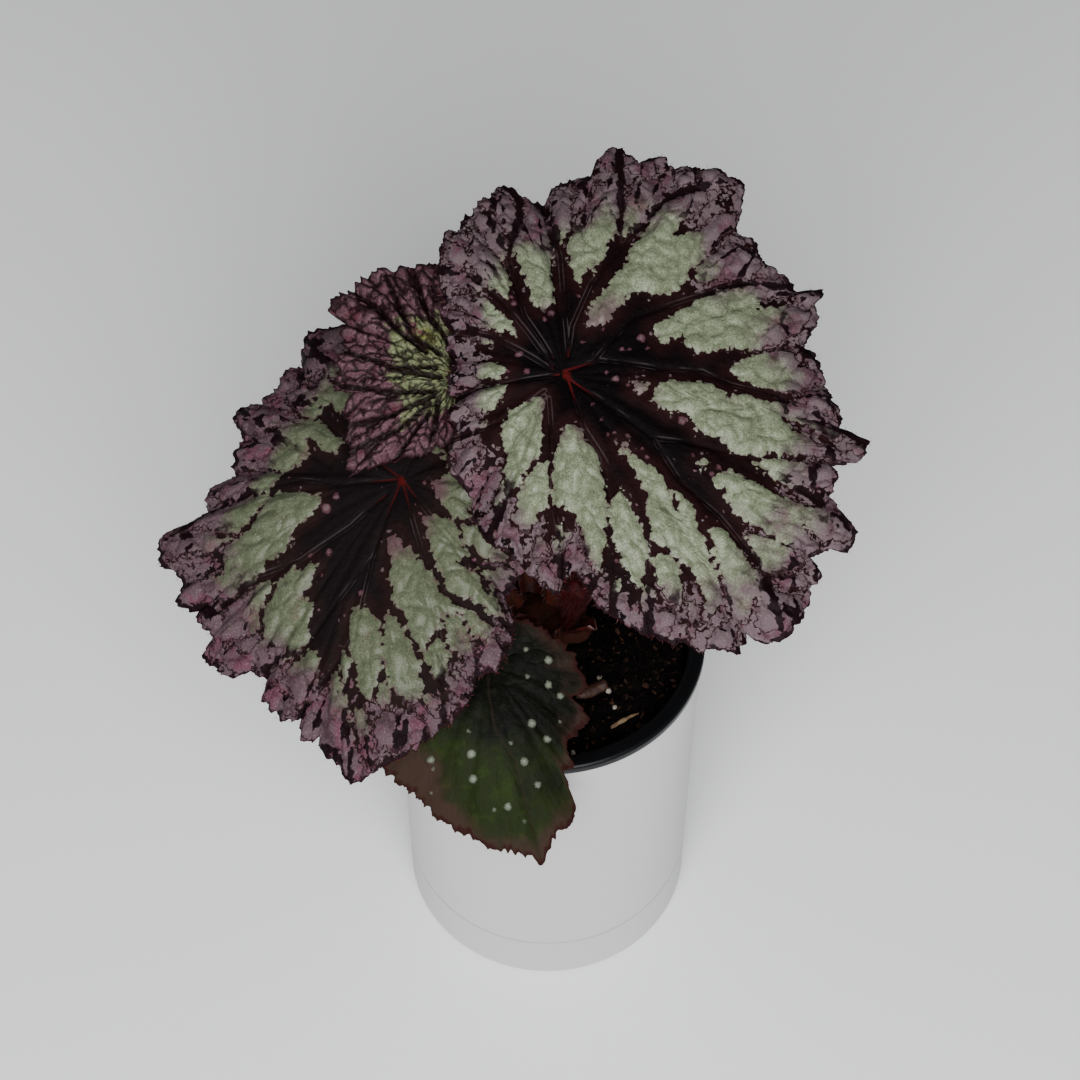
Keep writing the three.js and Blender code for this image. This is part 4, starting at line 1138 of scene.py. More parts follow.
def young_leaf_finish():
    """Crumpled young blade: cushions parted by dark furrows, yellow-green inside and mauve outside."""
    f = Finish("young leaf")
    _, _, cushion, rib, edge, share, upper = f.values(*LEAF_VALUES)
    fine = f.noise(f.at, 1300, 2)
    ragged = f.noise(f.at, 420)
    broad = f.noise(f.at, 110, 2)
    zone = f.plus(share, f.swing(broad, 0.5), f.swing(ragged, 0.3))
    inner = f.over(rgb(82, 86, 60), rgb(104, 109, 82), fine, 0.4, 0.65)
    inner = f.over(inner, rgb(92, 92, 28), broad, 0.54, 0.68, 0.6)
    outer = f.over(rgb(68, 44, 52), rgb(88, 64, 70), fine, 0.4, 0.65)
    outer = f.over(outer, rgb(66, 26, 36), broad, 0.52, 0.7, 0.7)
    face = f.over(outer, inner, zone, 0.56, 0.46)
    crease = f.plus(cushion, f.swing(ragged, 0.5), f.swing(fine, 0.3))
    face = f.over(face, rgb(17, 7, 9), crease, 0.3, 0.06, 0.85)
    face = f.over(face, rgb(17, 6, 8), f.plus(rib, f.swing(ragged, 0.8)), 1.5, 0.5, 0.95)
    face = f.over(face, rgb(26, 9, 13), edge, 1.8, 0.3, 0.9)
    face = f.over(face, rgb(60, 15, 15), share, 0.1, 0.03)
    back = f.over(rgb(84, 26, 36), rgb(120, 48, 42), rib, 1.4, 0.5)
    return f.give(f.mix(upper, back, face), 0.42, 0.08, f.plus(crease, f.times(fine, 0.3)), 0.7)


def front_leaf_finish():
    """Slate green blade, near black as painted shadow where it lies under the others, with pale dots and a
    wide, uneven red-brown margin.
    """
    f = Finish("front leaf")
    _, spot, _, rib, edge, share, upper = f.values(*LEAF_VALUES)
    broad = f.noise(f.at, 55)
    mid = f.noise(f.at, 210)
    fine = f.noise(f.at, 1300, 2)
    # Dark slate where the blade lies under the others, partly its own colour and partly painted shadow of the
    # leaves above; green towards the front and left
    _, sideways, backwards, _ = f.ray()
    front = f.times(f.plus(backwards, f.swing(sideways, 0.5)), share)
    green = f.over(rgb(24, 31, 12), rgb(31, 43, 12), mid, 0.48, 0.34, 0.6)
    # Near-black painted shadow towards the back and right, where the other leaves lie over the blade
    face = f.over(rgb(8, 9, 6), green, f.plus(front, f.swing(broad, 0.9)), -0.35, -0.8)
    face = f.over(face, rgb(25, 27, 19), mid, 0.52, 0.7, 0.45)
    face = f.over(face, rgb(32, 35, 25), fine, 0.5, 0.75, 0.2)
    face = f.over(face, rgb(32, 24, 18), rib, 0.8, 0.2, 0.4)
    # Brown margin, wider to the left, with a dark red edge
    wide = f.times(f.step(sideways, 0.1, -0.7), 9.0)
    band = f.minus(f.plus(edge, f.swing(broad, 22.0), f.swing(mid, 12.0)), wide)
    face = f.over(face, rgb(45, 33, 28), band, 10.0, 0.0, 0.95)
    face = f.over(face, rgb(36, 15, 14), f.plus(edge, f.swing(mid, 6.0)), 2.4, 0.6, 0.9)
    ring = f.plus(spot, f.swing(fine, 1.0), f.swing(mid, 1.2), -0.1)
    face = f.over(face, f.over(rgb(80, 85, 74), rgb(108, 113, 102), ring, 0.3, 1.2), ring, -0.35, 0.4)
    back = f.over(rgb(84, 34, 36), rgb(112, 56, 40), rib, 1.4, 0.5)
    return f.give(f.mix(upper, back, face), 0.5, 0.03, f.plus(fine, mid), 0.3, 0.0005)


# Other finishes


def plain_finish(name, colour, other, scale, roughness, bump=0.0, bump_scale=900, shine=0.5):
    """Two close colours that wander into each other, with a fine bump."""
    f = Finish(name)
    skin = f.over(colour, other, f.noise(f.at, scale, 4), 0.35, 0.65)
    height = f.noise(f.at, bump_scale) if bump else None
    return f.give(skin, roughness, shine, height, bump)


def pot_glaze():
    """Off-white glaze with painted shade: darker where it faces the camera and paler where it is seen from
    the side, and painted shade in the groove.
    """
    f = Finish("pot glaze")
    # Painted shade: the glaze darker where it faces the camera
    facing = f.add("ShaderNodeLayerWeight", {"Blend": 0.5}).outputs["Facing"]
    skin = f.over(rgb(165, 166, 164), rgb(181, 182, 180), facing, 0.38, 0.72)
    # Painted shade in the groove
    off = f.math("ABSOLUTE", f.minus(f.parts_of(f.at)[2], GROOVE_HEIGHT * MM))
    skin = f.over(skin, rgb(132, 133, 132), off, GROOVE_WIDTH * MM / 2, GROOVE_WIDTH * MM / 6, 0.6)
    return f.give(skin, 0.42, 0.5, f.noise(f.at, 500), 0.04)


def papery_finish(name, colour, other):
    """Thin dry skin with streaks along it."""
    f = Finish(name)
    squeezed = f.add("ShaderNodeMapping", {"Scale": (1, 1, 0.25), "Vector": f.at}).outputs[0]
    streak = f.noise(squeezed, 620)
    return f.give(f.over(colour, other, streak, 0.36, 0.64), 0.45, 0.5, streak, 0.5, 0.0005)


def soil_colour():
    """Dark damp peat with reddish-brown bark in it, its colour darkened further as painted shade under the
    leaves.
    """
    f = Finish("potting soil")
    fine = f.noise(f.at, 900, 4, 0.7)
    # Nearly black: the peat's own dark colour with painted shade under the leaves
    base = f.over(rgb(5, 3, 3), rgb(11, 7, 6), f.noise(f.at, 240, 4), 0.4, 0.62)
    base = f.over(base, rgb(24, 15, 12), fine, 0.6, 0.74, 0.6)
    return f.give(base, 0.95, 0.04, fine, 0.9, 0.0012)


# Things that repeat: hairs on a surface, and grains strewn on one


def growing_group(name, inputs):
    """A group that strews points on a mesh, as its wiring, what it is given, its outputs and the points."""
    geometry = "NodeSocketGeometry"
    w, given, out = new_group(
        name,
        "GeometryNodeTree",
        [
            ("Geometry", geometry, None),
            ("Density", "NodeSocketFloat", 10000.0),
            *inputs,
            ("Seed", "NodeSocketInt", 1),
            ("Material", "NodeSocketMaterial", None),
        ],
        [("Geometry", geometry)],
    )
    sockets = {"Mesh": given["Geometry"], "Density": given["Density"], "Seed": given["Seed"]}
    return w, given, out, w.add("GeometryNodeDistributePointsOnFaces", sockets).outputs


def random_vector(w, low, high, seed):
    sockets = {0: low, 1: high, "Seed": seed}
    return w.add("FunctionNodeRandomValue", sockets, data_type="FLOAT_VECTOR").outputs[0]


def repeats(w, points, shape, turn, size):
    """A shape on every point, turned and sized, as real mesh."""
    sockets = {"Points": points, "Instance": shape, "Rotation": turn, "Scale": size}
    placed = w.add("GeometryNodeInstanceOnPoints", sockets).outputs[0]
    return w.add("GeometryNodeRealizeInstances", {0: placed}).outputs[0]


def paint(w, given, out, made):
    """Set the material on what a group has made, and let it out."""
    w.feed(out[0], w.add("GeometryNodeSetMaterial", {0: made, "Material": given["Material"]}).outputs[0])
    return w.tree


def hair_tree():
    """Fine pointed hairs that stand on a surface and lean a little each their own way."""
    number = "NodeSocketFloat"
    inputs = [("Length", number, 0.002), ("Thickness", number, 0.00006)]
    w, given, out, spread = growing_group("hairs", inputs)
    sockets = {"Vertices": 3, "Radius Top": 0.0, "Radius Bottom": given["Thickness"]}
    sockets["Depth"] = given["Length"]
    cone = w.add("GeometryNodeMeshCone", sockets).outputs["Mesh"]
    lean = random_vector(w, (-0.55, -0.55, -3.1), (0.55, 0.55, 3.1), 7)
    sockets = {"Rotation": spread["Rotation"], "Rotate By": lean}
    turn = w.add("FunctionNodeRotateRotation", sockets, rotation_space="LOCAL").outputs[0]
    size = w.add("FunctionNodeRandomValue", {2: 0.45, 3: 1.1, "Seed": 3}, data_type="FLOAT").outputs[1]
    return paint(w, given, out, repeats(w, spread["Points"], cone, turn, size))


def grain_tree():
    """Rough grains strewn on a surface, half sunk in it."""
    size_kind = "NodeSocketVector"
    inputs = [
        ("Smallest", size_kind, (0.001, 0.001, 0.001)),
        ("Largest", size_kind, (0.002, 0.002, 0.002)),
        ("Roughness", "NodeSocketFloat", 0.3),
    ]
    w, given, out, spread = growing_group("grains", inputs)
    ball = w.add("GeometryNodeMeshIcoSphere", {"Radius": 0.5, "Subdivisions": 2}).outputs["Mesh"]
    size = random_vector(w, given["Smallest"], given["Largest"], 5)
    turn = random_vector(w, (-3.1, -3.1, -3.1), (3.1, 3.1, 3.1), 11)
    turn = w.add("FunctionNodeEulerToRotation", {0: turn}).outputs[0]
    real = repeats(w, spread["Points"], ball, turn, size)
    # Lumps on each grain
    lumps = w.add("ShaderNodeTexNoise", {"Scale": 900.0}).outputs["Color"]
    centred = w.vector("SUBTRACT", lumps, (0.5, 0.5, 0.5))
    sockets = {0: centred, "Scale": w.times(given["Roughness"], 0.004)}
    offset = w.add("ShaderNodeVectorMath", sockets, operation="SCALE").outputs[0]
    shifted = w.add("GeometryNodeSetPosition", {"Geometry": real, "Offset": offset}).outputs[0]
    return paint(w, given, out, shifted)


def evaluated(thing):
    """The mesh of an object with its modifiers applied."""
    bpy.context.view_layer.update()
    graph = bpy.context.evaluated_depsgraph_get()
    return bpy.data.meshes.new_from_object(thing.evaluated_get(graph))


def grow(name, base, tree, look, seed, material):
    """Run a tree on a base mesh and keep what it makes as a piece of its own."""
    modifier = base.modifiers.new("grow", "NODES")
    modifier.node_group = tree
    sockets = {item.name: item.identifier for item in tree.interface.items_tree if item.in_out == "INPUT"}
    for key, value in {**look, "Seed": seed, "Material": material}.items():
        modifier[sockets[key]] = value
    mesh = evaluated(base)
    base.modifiers.remove(modifier)
    mesh.name = name
    dress(new_object(name, mesh))


def drop(thing):
    mesh = thing.data
    bpy.data.objects.remove(thing)
    bpy.data.meshes.remove(mesh)


# Rings of points


def turns(sides):
    return [2 * math.pi * k / sides for k in range(sides)]


def ring_faces(rows, sides, rising=True):
    """Quads between rings of points that follow each other, upwards or downwards, facing outwards."""
    faces = []
    for row in range(rows - 1):
        for k in range(sides):
            a = row * sides + k
            b = row * sides + (k + 1) % sides
            faces.append((a, b, b + sides, a + sides) if rising else (a, a + sides, b + sides, b))
    return faces


def capped_faces(rows, sides, rising=True):
    """Faces of a closed stack of rings, whose two poles are the last two points."""
    faces = ring_faces(rows, sides, rising)
    pole = rows * sides
    last = pole - sides
    for k in range(sides):
        j = (k + 1) % sides
        faces.append((pole, j, k) if rising else (pole, k, j))
        faces.append((pole + 1, last + k, last + j) if rising else (pole + 1, last + j, last + k))
    return faces


# Stems


def unit(vector):
    vector = np.array(vector, float)
    return vector / np.linalg.norm(vector)


def bezier(points, t):
    a, b, c, d = points
    t = t[:, None]
    return (1 - t) ** 3 * a + 3 * (1 - t) ** 2 * t * b + 3 * (1 - t) * t**2 * c + t**3 * d


def tube(path, radii, sides, ribbing):
    """Points and faces of a closed tube along a path of points, with five shallow ribs that wind a little."""
    points = []
    side = None
    for i, here in enumerate(path):
        ahead = unit(path[min(i + 1, len(path) - 1)] - path[max(i - 1, 0)])
        if side is None:
            side = np.cross(ahead, [0.3, 1, 0.1])
        side = unit(side - ahead * (side @ ahead))
        other = np.cross(ahead, side)
        for angle in turns(sides):
            r = radii[i] * (1 + ribbing * math.cos(5 * angle + 0.05 * i))
            points.append(here + r * (math.cos(angle) * side + math.sin(angle) * other))
    return [*points, path[0], path[-1]], capped_faces(len(path), sides)


def build_stem(stem, leaf, material):
    """A stem from the crown to the hollow under its blade."""
    start = unit(stem["start"])
    facing = unit(leaf["facing"])
    foot = np.array(stem["foot"], float)
    top = np.array(leaf["attach"]) - (STEM_DIP + BLADE_THICKNESS + 1.5 * GAP) * facing
    t = np.linspace(0, 1, 70)
    path = bezier([foot, foot + start * stem["ease"][0], top - facing * stem["ease"][1], top], t)
    # A little thicker at the foot and flared under the blade
    radii = stem["radius"] * (0.94 + 0.14 * np.exp(-t / 0.12) + 0.16 * np.exp(-(1 - t) / 0.035))
    points, faces = tube(path, radii, 20, 0.03)
    flesh = mesh_piece(stem["name"] + "_flesh", points, faces, material)
    dress(flesh, stem["name"])
    return flesh


# Turned pieces


def lathe(name, profile, rounding, material):
    """A closed turned body from corners of radius and height, which starts and ends on its axis."""
    points = []
    rows = []
    for r, z in rounded(profile, rounding):
        start = len(points)
        if r:
            rows.append(range(start, start + POT_SIDES))
            points.extend((r * math.cos(angle), r * math.sin(angle), z) for angle in turns(POT_SIDES))
        else:
            rows.append([start] * POT_SIDES)
            points.append((0, 0, z))
    faces = []
    for low, high in zip(rows, rows[1:]):
        for k in range(POT_SIDES):
            j = (k + 1) % POT_SIDES
            # A corner on the axis counts once
            faces.append(tuple(dict.fromkeys((low[k], low[j], high[j], high[k]))))
    return mesh_piece(name, points, faces, material, 38)


def rounded(profile, reach):
    """Round each inner corner of a profile with a short arc of points."""
    made = [profile[0]]
    for before, corner, after in zip(profile, profile[1:], profile[2:]):
        here = np.array(corner, float)
        ends = []
        for other in (before, after):
            way = np.array(other, float) - here
            length = np.linalg.norm(way)
            ends.append(here + way / length * min(reach, 0.45 * length))
        for t in np.linspace(0, 1, 5):
            made.append(tuple((1 - t) ** 2 * ends[0] + 2 * (1 - t) * t * here + t * t * ends[1]))
    return [*made, profile[-1]]


def build_pot(material):
    inner_foot = POT_FOOT_RADIUS - POT_WALL
    profile = [
        (0, 0),
        (POT_FOOT_RADIUS - POT_FOOT_ROUND, 0),
        (POT_FOOT_RADIUS - POT_FOOT_ROUND * 0.3, POT_FOOT_ROUND * 0.3),
        (POT_FOOT_RADIUS, POT_FOOT_ROUND),
        (POT_FOOT_RADIUS, GROOVE_HEIGHT - GROOVE_WIDTH / 2),
        (POT_FOOT_RADIUS - GROOVE_DEPTH, GROOVE_HEIGHT),
        (POT_FOOT_RADIUS, GROOVE_HEIGHT + GROOVE_WIDTH / 2),
        (POT_TOP_RADIUS, POT_HEIGHT - POT_RIM_ROUND),
        (POT_TOP_RADIUS - POT_RIM_ROUND, POT_HEIGHT),
        (POT_TOP_RADIUS - POT_WALL, POT_HEIGHT),
        (inner_foot, POT_FLOOR + POT_WALL),
        (inner_foot - POT_WALL, POT_FLOOR),
        (0, POT_FLOOR),
    ]
    dress(lathe("outer_pot", profile, 0.6, material), "pot")


def liner_inner(z):
    """Radius of the liner's inner wall at a height."""
    rise = (z - LINER_FOOT) / (LINER_RIM_TOP - LINER_FOOT)
    return LINER_FOOT_RADIUS + (LINER_TOP_RADIUS - LINER_FOOT_RADIUS) * rise - LINER_WALL


def build_liner(material):
    rim_foot = LINER_RIM_TOP - LINER_RIM_THICKNESS
    skirt_foot = rim_foot - LINER_SKIRT_DROP
    skirt_inner = LINER_RIM_RADIUS - LINER_SKIRT_WALL
    edge = LINER_RIM_THICKNESS * 0.35
    floor_top = LINER_FOOT + LINER_WALL
    inner = liner_inner(LINER_RIM_TOP)
    profile = [
        (0, LINER_FOOT),
        (LINER_FOOT_RADIUS - LINER_WALL, LINER_FOOT),
        (LINER_FOOT_RADIUS, floor_top),
        (liner_inner(rim_foot) + LINER_WALL, rim_foot),
        (skirt_inner, rim_foot),
        (skirt_inner, skirt_foot),
        (LINER_RIM_RADIUS, skirt_foot),
        (LINER_RIM_RADIUS, LINER_RIM_TOP - edge),
        (LINER_RIM_RADIUS - edge, LINER_RIM_TOP),
        (inner + 2 * edge, LINER_RIM_TOP),
        (inner + 1.2 * edge, LINER_RIM_TOP - 0.5 * edge),
        (inner + 0.4 * edge, LINER_RIM_TOP - 0.5 * edge),
        (inner, LINER_RIM_TOP - edge),
        (liner_inner(floor_top), floor_top),
        (0, floor_top),
    ]
    liner = lathe("liner_pot", profile, 0.45, material)
    cutters = []
    for i in range(DRAIN_COUNT):
        angle = i / DRAIN_COUNT * 2 * math.pi
        x = DRAIN_CIRCLE * math.cos(angle) * MM
        y = DRAIN_CIRCLE * math.sin(angle) * MM
        bpy.ops.mesh.primitive_cylinder_add(
            vertices=32, radius=DRAIN_RADIUS * MM, depth=4 * LINER_WALL * MM, location=(x, y, LINER_FOOT * MM)
        )
        cutters.append(bpy.context.object)
        cut = liner.modifiers.new("drain", "BOOLEAN")
        cut.operation = "DIFFERENCE"
        cut.solver = "EXACT"
        cut.object = cutters[-1]
    whole = liner.data
    holed = evaluated(liner)
    liner.modifiers.clear()
    liner.data = holed
    bpy.data.meshes.remove(whole)
    for cutter in cutters:
        drop(cutter)
    dress(liner, "liner")


# Soil


def soil_height(x, y):
    broad = math.sin(0.17 * x + 0.6) * math.cos(0.14 * y - 0.4)
    fine = math.sin(0.43 * x - 0.31 * y) * math.cos(0.29 * x + 0.47 * y + 1.1)
    return SOIL_LEVEL + SOIL_LUMP * (0.9 * broad + 0.7 * fine)


def build_soil(material):
    """Soil that fills the liner, crumbly on top and less so where it meets the wall."""
    floor = LINER_FOOT + LINER_WALL + GAP
    rim = liner_inner(SOIL_LEVEL - 2 * SOIL_LUMP) - GAP
    foot = liner_inner(floor) - GAP
    sides = 160
    rings = 60
    points = []
    for k in range(1, rings + 1):
        for angle in turns(sides):
            x = rim * k / rings * math.cos(angle)
            y = rim * k / rings * math.sin(angle)
            crumb = noise.fractal(Vector((x * 0.55, y * 0.55, 3)), 0.7, 2.1, 4)
            points.append((x, y, soil_height(x, y) + 0.55 * crumb * (1 - 0.6 * (k == rings))))
    points.extend((foot * math.cos(angle), foot * math.sin(angle), floor) for angle in turns(sides))
    points += [(0, 0, soil_height(0, 0)), (0, 0, floor)]
    soil = mesh_piece("potting_soil", points, capped_faces(rings + 1, sides, False), material)
    dress(soil, "soil")


def soil_patch():
    """A ring of the soil's top, to strew grains on."""
    sides = 72
    rows = 12
    points = []
    for k in range(rows + 1):
        r = PATCH_INNER + (PATCH_OUTER - PATCH_INNER) * k / rows
        for angle in turns(sides):
            x = r * math.cos(angle)
            y = r * math.sin(angle)
            points.append((x, y, soil_height(x, y) + PATCH_LIFT))
    return plain_mesh("patch", points, ring_faces(rows + 1, sides, False))


def build_chip(material):
    """A splinter of wood that lies on the soil."""
    points = []
    rows = 14
    across = 6
    x, y, turn, length, width = [CHIP[key] for key in ("x", "y", "turn", "length", "width")]
    spin = Matrix.Rotation(math.radians(turn), 3, "Z")
    middle = Vector((x, y, soil_height(x, y) + 0.55))
    for k in range(rows + 1):
        u = k / rows
        half = width / 2 * (0.55 + 0.45 * math.sin(math.pi * min(u * 1.3, 1))) * (1 - 0.5 * u**4)
        for i, angle in enumerate(turns(across)):
            aside = half * math.cos(angle) + 0.6 * math.sin(2.6 * u) + 0.12 * math.sin(17 * u + i)
            up = 0.32 * width * math.sin(angle) + 0.5 * u
            points.append(spin @ Vector(((u - 0.5) * length, aside, up)) + middle)
    faces = ring_faces(rows + 1, across)
    faces.append(tuple(range(across - 1, -1, -1)))
    faces.append(tuple(range(rows * across, len(points))))
    dress(mesh_piece("wood_chip", points, faces, material, 50))


# Crown


def scale_points(height, width, rows, columns, seed):
    """A pointed, cupped papery scale that stands on its broad foot, with a ragged edge."""
    points = []
    for face in (0, 1):
        for row in range(rows + 1):
            up = row / rows
            half = width / 2 * (0.75 + 0.5 * up) * math.sqrt(1 - 0.96 * up * up)
            for column in range(columns + 1):
                across = column / columns * 2 - 1
                ragged = 1 + 0.07 * noise.noise(Vector((up * 9, across * 2, seed))) * (abs(across) > 0.9)
                cup = 0.3 * width * across * across - 0.12 * height * up * up
                crinkle = 0.22 * noise.noise(Vector((across * 6, up * 2.5, seed + 4)))
                thin = SCALE_THICKNESS * (1 - 0.45 * max(abs(across), up) ** 3)
                z = up * height * (1 - 0.05 * abs(across) * up * (1 + math.sin(seed)))
                points.append((across * half * ragged, cup + crinkle + face * thin, z))
    faces = []

    def number(face, row, column):
        return (face * (rows + 1) + row) * (columns + 1) + column

    def add(*corners):
        faces.append(tuple(number(*corner) for corner in corners))

    for row in range(rows):
        for c in range(columns):
            add((0, row, c), (0, row, c + 1), (0, row + 1, c + 1), (0, row + 1, c))
            add((1, row, c), (1, row + 1, c), (1, row + 1, c + 1), (1, row, c + 1))
        add((0, row, 0), (0, row + 1, 0), (1, row + 1, 0), (1, row, 0))
        add((0, row, columns), (1, row, columns), (1, row + 1, columns), (0, row + 1, columns))
    for c in range(columns):
        add((0, 0, c), (1, 0, c), (1, 0, c + 1), (0, 0, c + 1))
        add((0, rows, c), (0, rows, c + 1), (1, rows, c + 1), (1, rows, c))
    return points, faces


def joined(parts):
    """Several point and face lists as one."""
    points = []
    faces = []
    for some_points, some_faces in parts:
        base = len(points)
        points.extend([tuple(p) for p in some_points])
        faces.extend([tuple(base + i for i in face) for face in some_faces])
    return points, faces


def lump(at, size, seed):
    """Points and faces of a knobbly round lump."""
    rows = 22
    sides = 40

    def swollen(k, angle):
        polar = math.pi * k / rows
        way = Vector((math.sin(polar) * math.cos(angle), math.sin(polar) * math.sin(angle), math.cos(polar)))
        swell = 1 + 0.07 * noise.fractal(way * 3 + Vector((seed, 0, 0)), 0.8, 2.0, 4)
        return Vector(at) + Vector([w * s * swell for w, s in zip(way, size)])

    points = [swollen(k, angle) for k in range(1, rows) for angle in turns(sides)]
    return [*points, swollen(0, 0), swollen(rows, 0)], capped_faces(rows - 1, sides, False)


def build_crown(root_material, scale_material):
    """The rootstock's lumps, and the papery scales that stand round the stems' feet."""
    points, faces = joined([lump(at, size, i) for i, (at, size) in enumerate(ROOTSTOCK_LUMPS)])
    dress(mesh_piece("rootstock_body", points, faces, root_material), "rootstock")
    parts = []
    for i, (at, turn, lean, height, width) in enumerate(SCALES):
        points, faces = scale_points(height, width, 20, 14, i * 2.3)
        place = Matrix.Translation(at) @ Matrix.Rotation(math.radians(turn + 90), 4, "Z")
        place = place @ Matrix.Rotation(math.radians(lean), 4, "X")
        parts.append(([place @ Vector(p) for p in points], faces))
    points, faces = joined(parts)
    dress(mesh_piece("crown_scales", points, faces, scale_material))


def build_fallen(material):
    """A scale that has dropped, laid down on the soil."""
    points, faces = scale_points(FALLEN["height"], FALLEN["width"], 18, 12, 9.1)
    place = Matrix.Rotation(math.radians(FALLEN["turn"]), 4, "Z") @ Matrix.Rotation(math.radians(-90), 4, "X")
    place = Matrix.Translation((FALLEN["x"], FALLEN["y"], 0)) @ place
    points = [place @ Vector(p) for p in points]
    lift = max(soil_height(p.x, p.y) - p.z for p in points) + GAP
    points = [(p.x, p.y, p.z + lift) for p in points]
    dress(mesh_piece("dry_scale", points, faces, material), "fallen_scale")


def build_furled(material):
    """A young leaf still rolled up, with three long creases and a closed tip."""
    heights = np.linspace(0, 1, 56)
    outline = np.array(FURLED_PROFILE, float)
    widths = np.interp(heights, outline[1:-1, 1], outline[1:-1, 0])
    tip = heights > outline[-2, 1]
    widths[tip] = outline[-2, 0] * np.sqrt(np.maximum(0, 1 - ((heights[tip] - 0.98) / 0.02) ** 2))
    widths = np.convolve(np.pad(widths, 2, mode="edge"), np.ones(5) / 5, "valid")
    widths[-1] = 0.02
    sides = 48
    points = []
    for height, width in zip(heights, widths):
        swell = max(0, math.sin(math.pi * min(max((height - 0.5) * 2, 0), 1)))
        for angle in turns(sides):
            crease = 1 - FURLED_CREASE * swell * math.cos(3 * angle)
            fold = 1 - 0.1 * swell * abs(math.sin(4 * angle + 5 * height)) ** 3
            r = width * FURLED["radius"] * crease * fold
            aside = r * math.sin(angle) * (1 - 0.25 * swell)
            points.append((r * math.cos(angle), aside, height * FURLED_HEIGHT))
    points += [(0, 0, 0), (0, 0, FURLED_HEIGHT)]
    turn = Vector((0, 0, 1)).rotation_difference(Vector(FURLED["lean"]).normalized()).to_matrix()
    points = [turn @ Vector(p) + Vector(FURLED["foot"]) for p in points]
    furled = mesh_piece("furled_young_leaf", points, capped_faces(len(heights), sides), material)
    dress(furled, "furled_leaf")
    return furled


def margin_ribbon(leaf):
    """A narrow strip round a leaf's margin, facing outwards, for its hairs to grow on."""
    count = 500
    bearing = np.linspace(leaf["margin"][0][0], leaf["margin"][-1][0], count)
    reach = margin_reach(leaf, bearing)
    x = reach * np.cos(np.radians(bearing))
    y = reach * np.sin(np.radians(bearing))
    z = blade_height(leaf, np.ones(count), bearing, reach)
    points = np.concatenate([place_points(leaf, x, y, z - down) for down in (0.1, 0.6)])
    return plain_mesh("ribbon", points, [(i, count + i, count + i + 1, i + 1) for i in range(count - 1)])


# Materials

markings = rex_markings()
large_finish = rex_leaf("large leaf", markings, {"Mauve From": 0.73, "Mauve Lean": 0.06, "Red Reach": 0.1})
left_finish = rex_leaf(
    "left leaf",
    markings,
    {
        "Mauve From": 0.76,
        "Mauve Lean": 0.05,
        "Red Reach": 0.14,
        "Silver": rgb(72, 77, 60),
        "Bright": rgb(91, 96, 78),
        # Painted shade in the silver's furrows
        "Crevice Shade": rgb(58, 64, 46),
        # Painted glints
        "Glint": rgb(100, 106, 88),
        "Mauve": rgb(71, 55, 61),
        "Flush": rgb(82, 35, 54),
        "Deep": rgb(16, 12, 13),
        "Ground": rgb(27, 16, 15),
        "Rib": rgb(48, 12, 13),
    },
)
stem_finish = plain_finish("stem skin", rgb(96, 34, 27), rgb(66, 40, 24), 90, 0.5, 0.3, 1500)
hair_finish = plain_finish("red hairs", rgb(104, 30, 29), rgb(84, 40, 32), 300, 0.45)
dark_hair_finish = plain_finish("dark red hairs", rgb(54, 11, 13), rgb(34, 9, 10), 300, 0.55, shine=0.1)
pale_hair_finish = plain_finish("pale hairs", rgb(140, 104, 96), rgb(112, 68, 62), 300, 0.45)
furled_skin = plain_finish("furled leaf skin", rgb(50, 9, 11), rgb(24, 6, 8), 260, 0.6, 0.5, 1200, shine=0.08)
root_finish = plain_finish("rootstock bark", rgb(48, 22, 15), rgb(28, 15, 10), 160, 0.8, 0.6, 700, shine=0.1)
scale_finish = papery_finish("crown scale", rgb(66, 22, 15), rgb(38, 13, 10))
dry_finish = papery_finish("dry scale", rgb(50, 25, 14), rgb(32, 16, 10))
liner_finish = plain_finish("black plastic", rgb(7, 8, 9), rgb(10, 11, 13), 60, 0.32, 0.06, 900, shine=0.14)
# Bark crumbs nearly black: their own dark colour with painted shade under the leaves
crumb_finish = plain_finish("bark crumbs", rgb(9, 6, 5), rgb(4, 3, 3), 240, 0.95, 0.6, 1500, shine=0.03)
flake_finish = plain_finish("bark flakes", rgb(44, 29, 21), rgb(16, 10, 8), 200, 0.95, 0.6, 1500, shine=0.03)
perlite_finish = plain_finish("white grains", rgb(140, 134, 122), rgb(96, 89, 77), 900, 0.9, 0.5, 1800)
chip_finish = plain_finish("wood chip", rgb(104, 84, 60), rgb(78, 56, 36), 400, 0.8, 0.5, 900)

# Pieces

leaves = (LARGE_LEAF, LEFT_LEAF, YOUNG_LEAF, FRONT_LEAF)
leaf_finishes = (large_finish, left_finish, young_leaf_finish(), front_leaf_finish())
for leaf, step, finish in zip(leaves, RING_STEPS, leaf_finishes):
    build_leaf(leaf, step, finish)

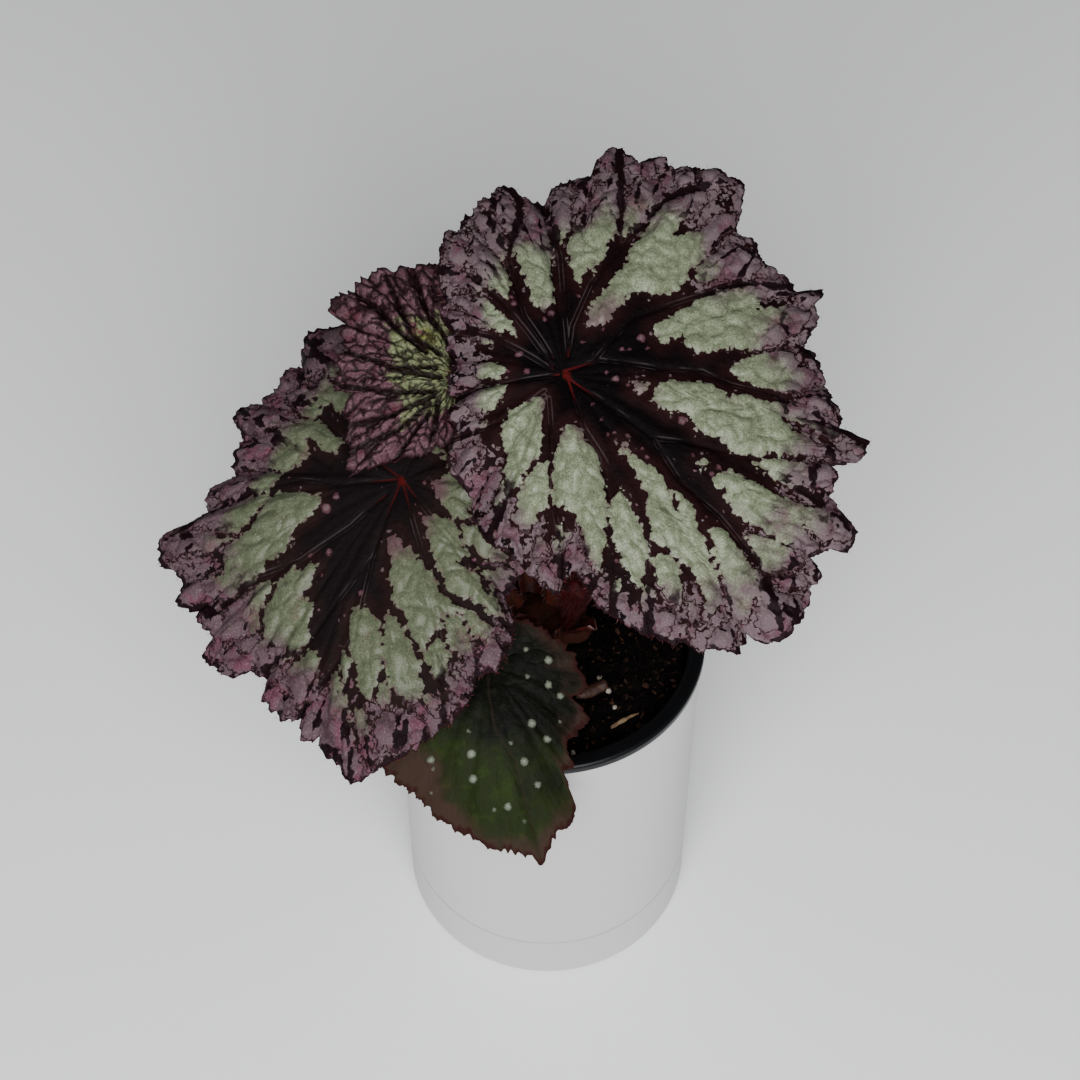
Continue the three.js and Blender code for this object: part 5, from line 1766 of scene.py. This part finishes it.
hairs = hair_tree()
for seed, stem, leaf in zip(STEM_SEEDS, STEMS, leaves):
    flesh = build_stem(stem, leaf, stem_finish)
    grow(stem["name"] + "_hairs", flesh, hairs, STEM_HAIRS, seed, pale_hair_finish)

for seed, leaf in zip(MARGIN_SEEDS, leaves):
    ribbon = margin_ribbon(leaf)
    grow(leaf["name"] + "_hairs", ribbon, hairs, MARGIN_HAIRS, seed, hair_finish)
    drop(ribbon)

furled = build_furled(furled_skin)
grow("furled_leaf_hairs", furled, hairs, FURLED_HAIRS, FURLED_SEED, dark_hair_finish)
build_crown(root_finish, scale_finish)
build_fallen(dry_finish)
build_pot(pot_glaze())
build_liner(liner_finish)
build_soil(soil_colour())

grains = grain_tree()
patch = soil_patch()
for name, look, seed, finish in (
    ("bark_crumbs", CRUMBS, 5, crumb_finish),
    ("bark_flakes", FLAKES, 6, flake_finish),
    ("white_grains", WHITE_GRAINS, 8, perlite_finish),
):
    grow(name, patch, grains, look, seed, finish)
drop(patch)
build_chip(chip_finish)

# Floor, light and camera

floor_finish = plain_finish("floor", rgb(228, 229, 231), rgb(228, 229, 231), 10, 0.9, shine=0.1)
bpy.ops.mesh.primitive_plane_add(size=12, location=(0, 0, 0))
floor = bpy.context.object
floor.name = "floor"
floor.data.materials.append(floor_finish)

lamp = bpy.data.lights.new("front softbox", "AREA")
lamp.shape = "DISK"
lamp.size = 1.4
lamp.energy = 55
softbox = new_object("front softbox", lamp)
softbox.location = (-0.02, -1.12, 1.15)
aim = Vector((0, 0.05, 0.1))
softbox.rotation_euler = (aim - softbox.location).to_track_quat("-Z", "Y").to_euler()

world = bpy.data.worlds.new("studio")
bpy.context.scene.world = world
world.use_nodes = True
world.node_tree.nodes["Background"].inputs["Color"].default_value = (1, 1, 1, 1)
world.node_tree.nodes["Background"].inputs["Strength"].default_value = 0.2

camera_data = bpy.data.cameras.new("camera")
camera_data.sensor_width = 36
camera_data.lens = 86.67
camera = new_object("camera", camera_data)
camera.location = (-0.00281, -0.50437, 0.9107)
camera.rotation_euler = (math.radians(35.8), 0, 0)
bpy.context.scene.camera = camera
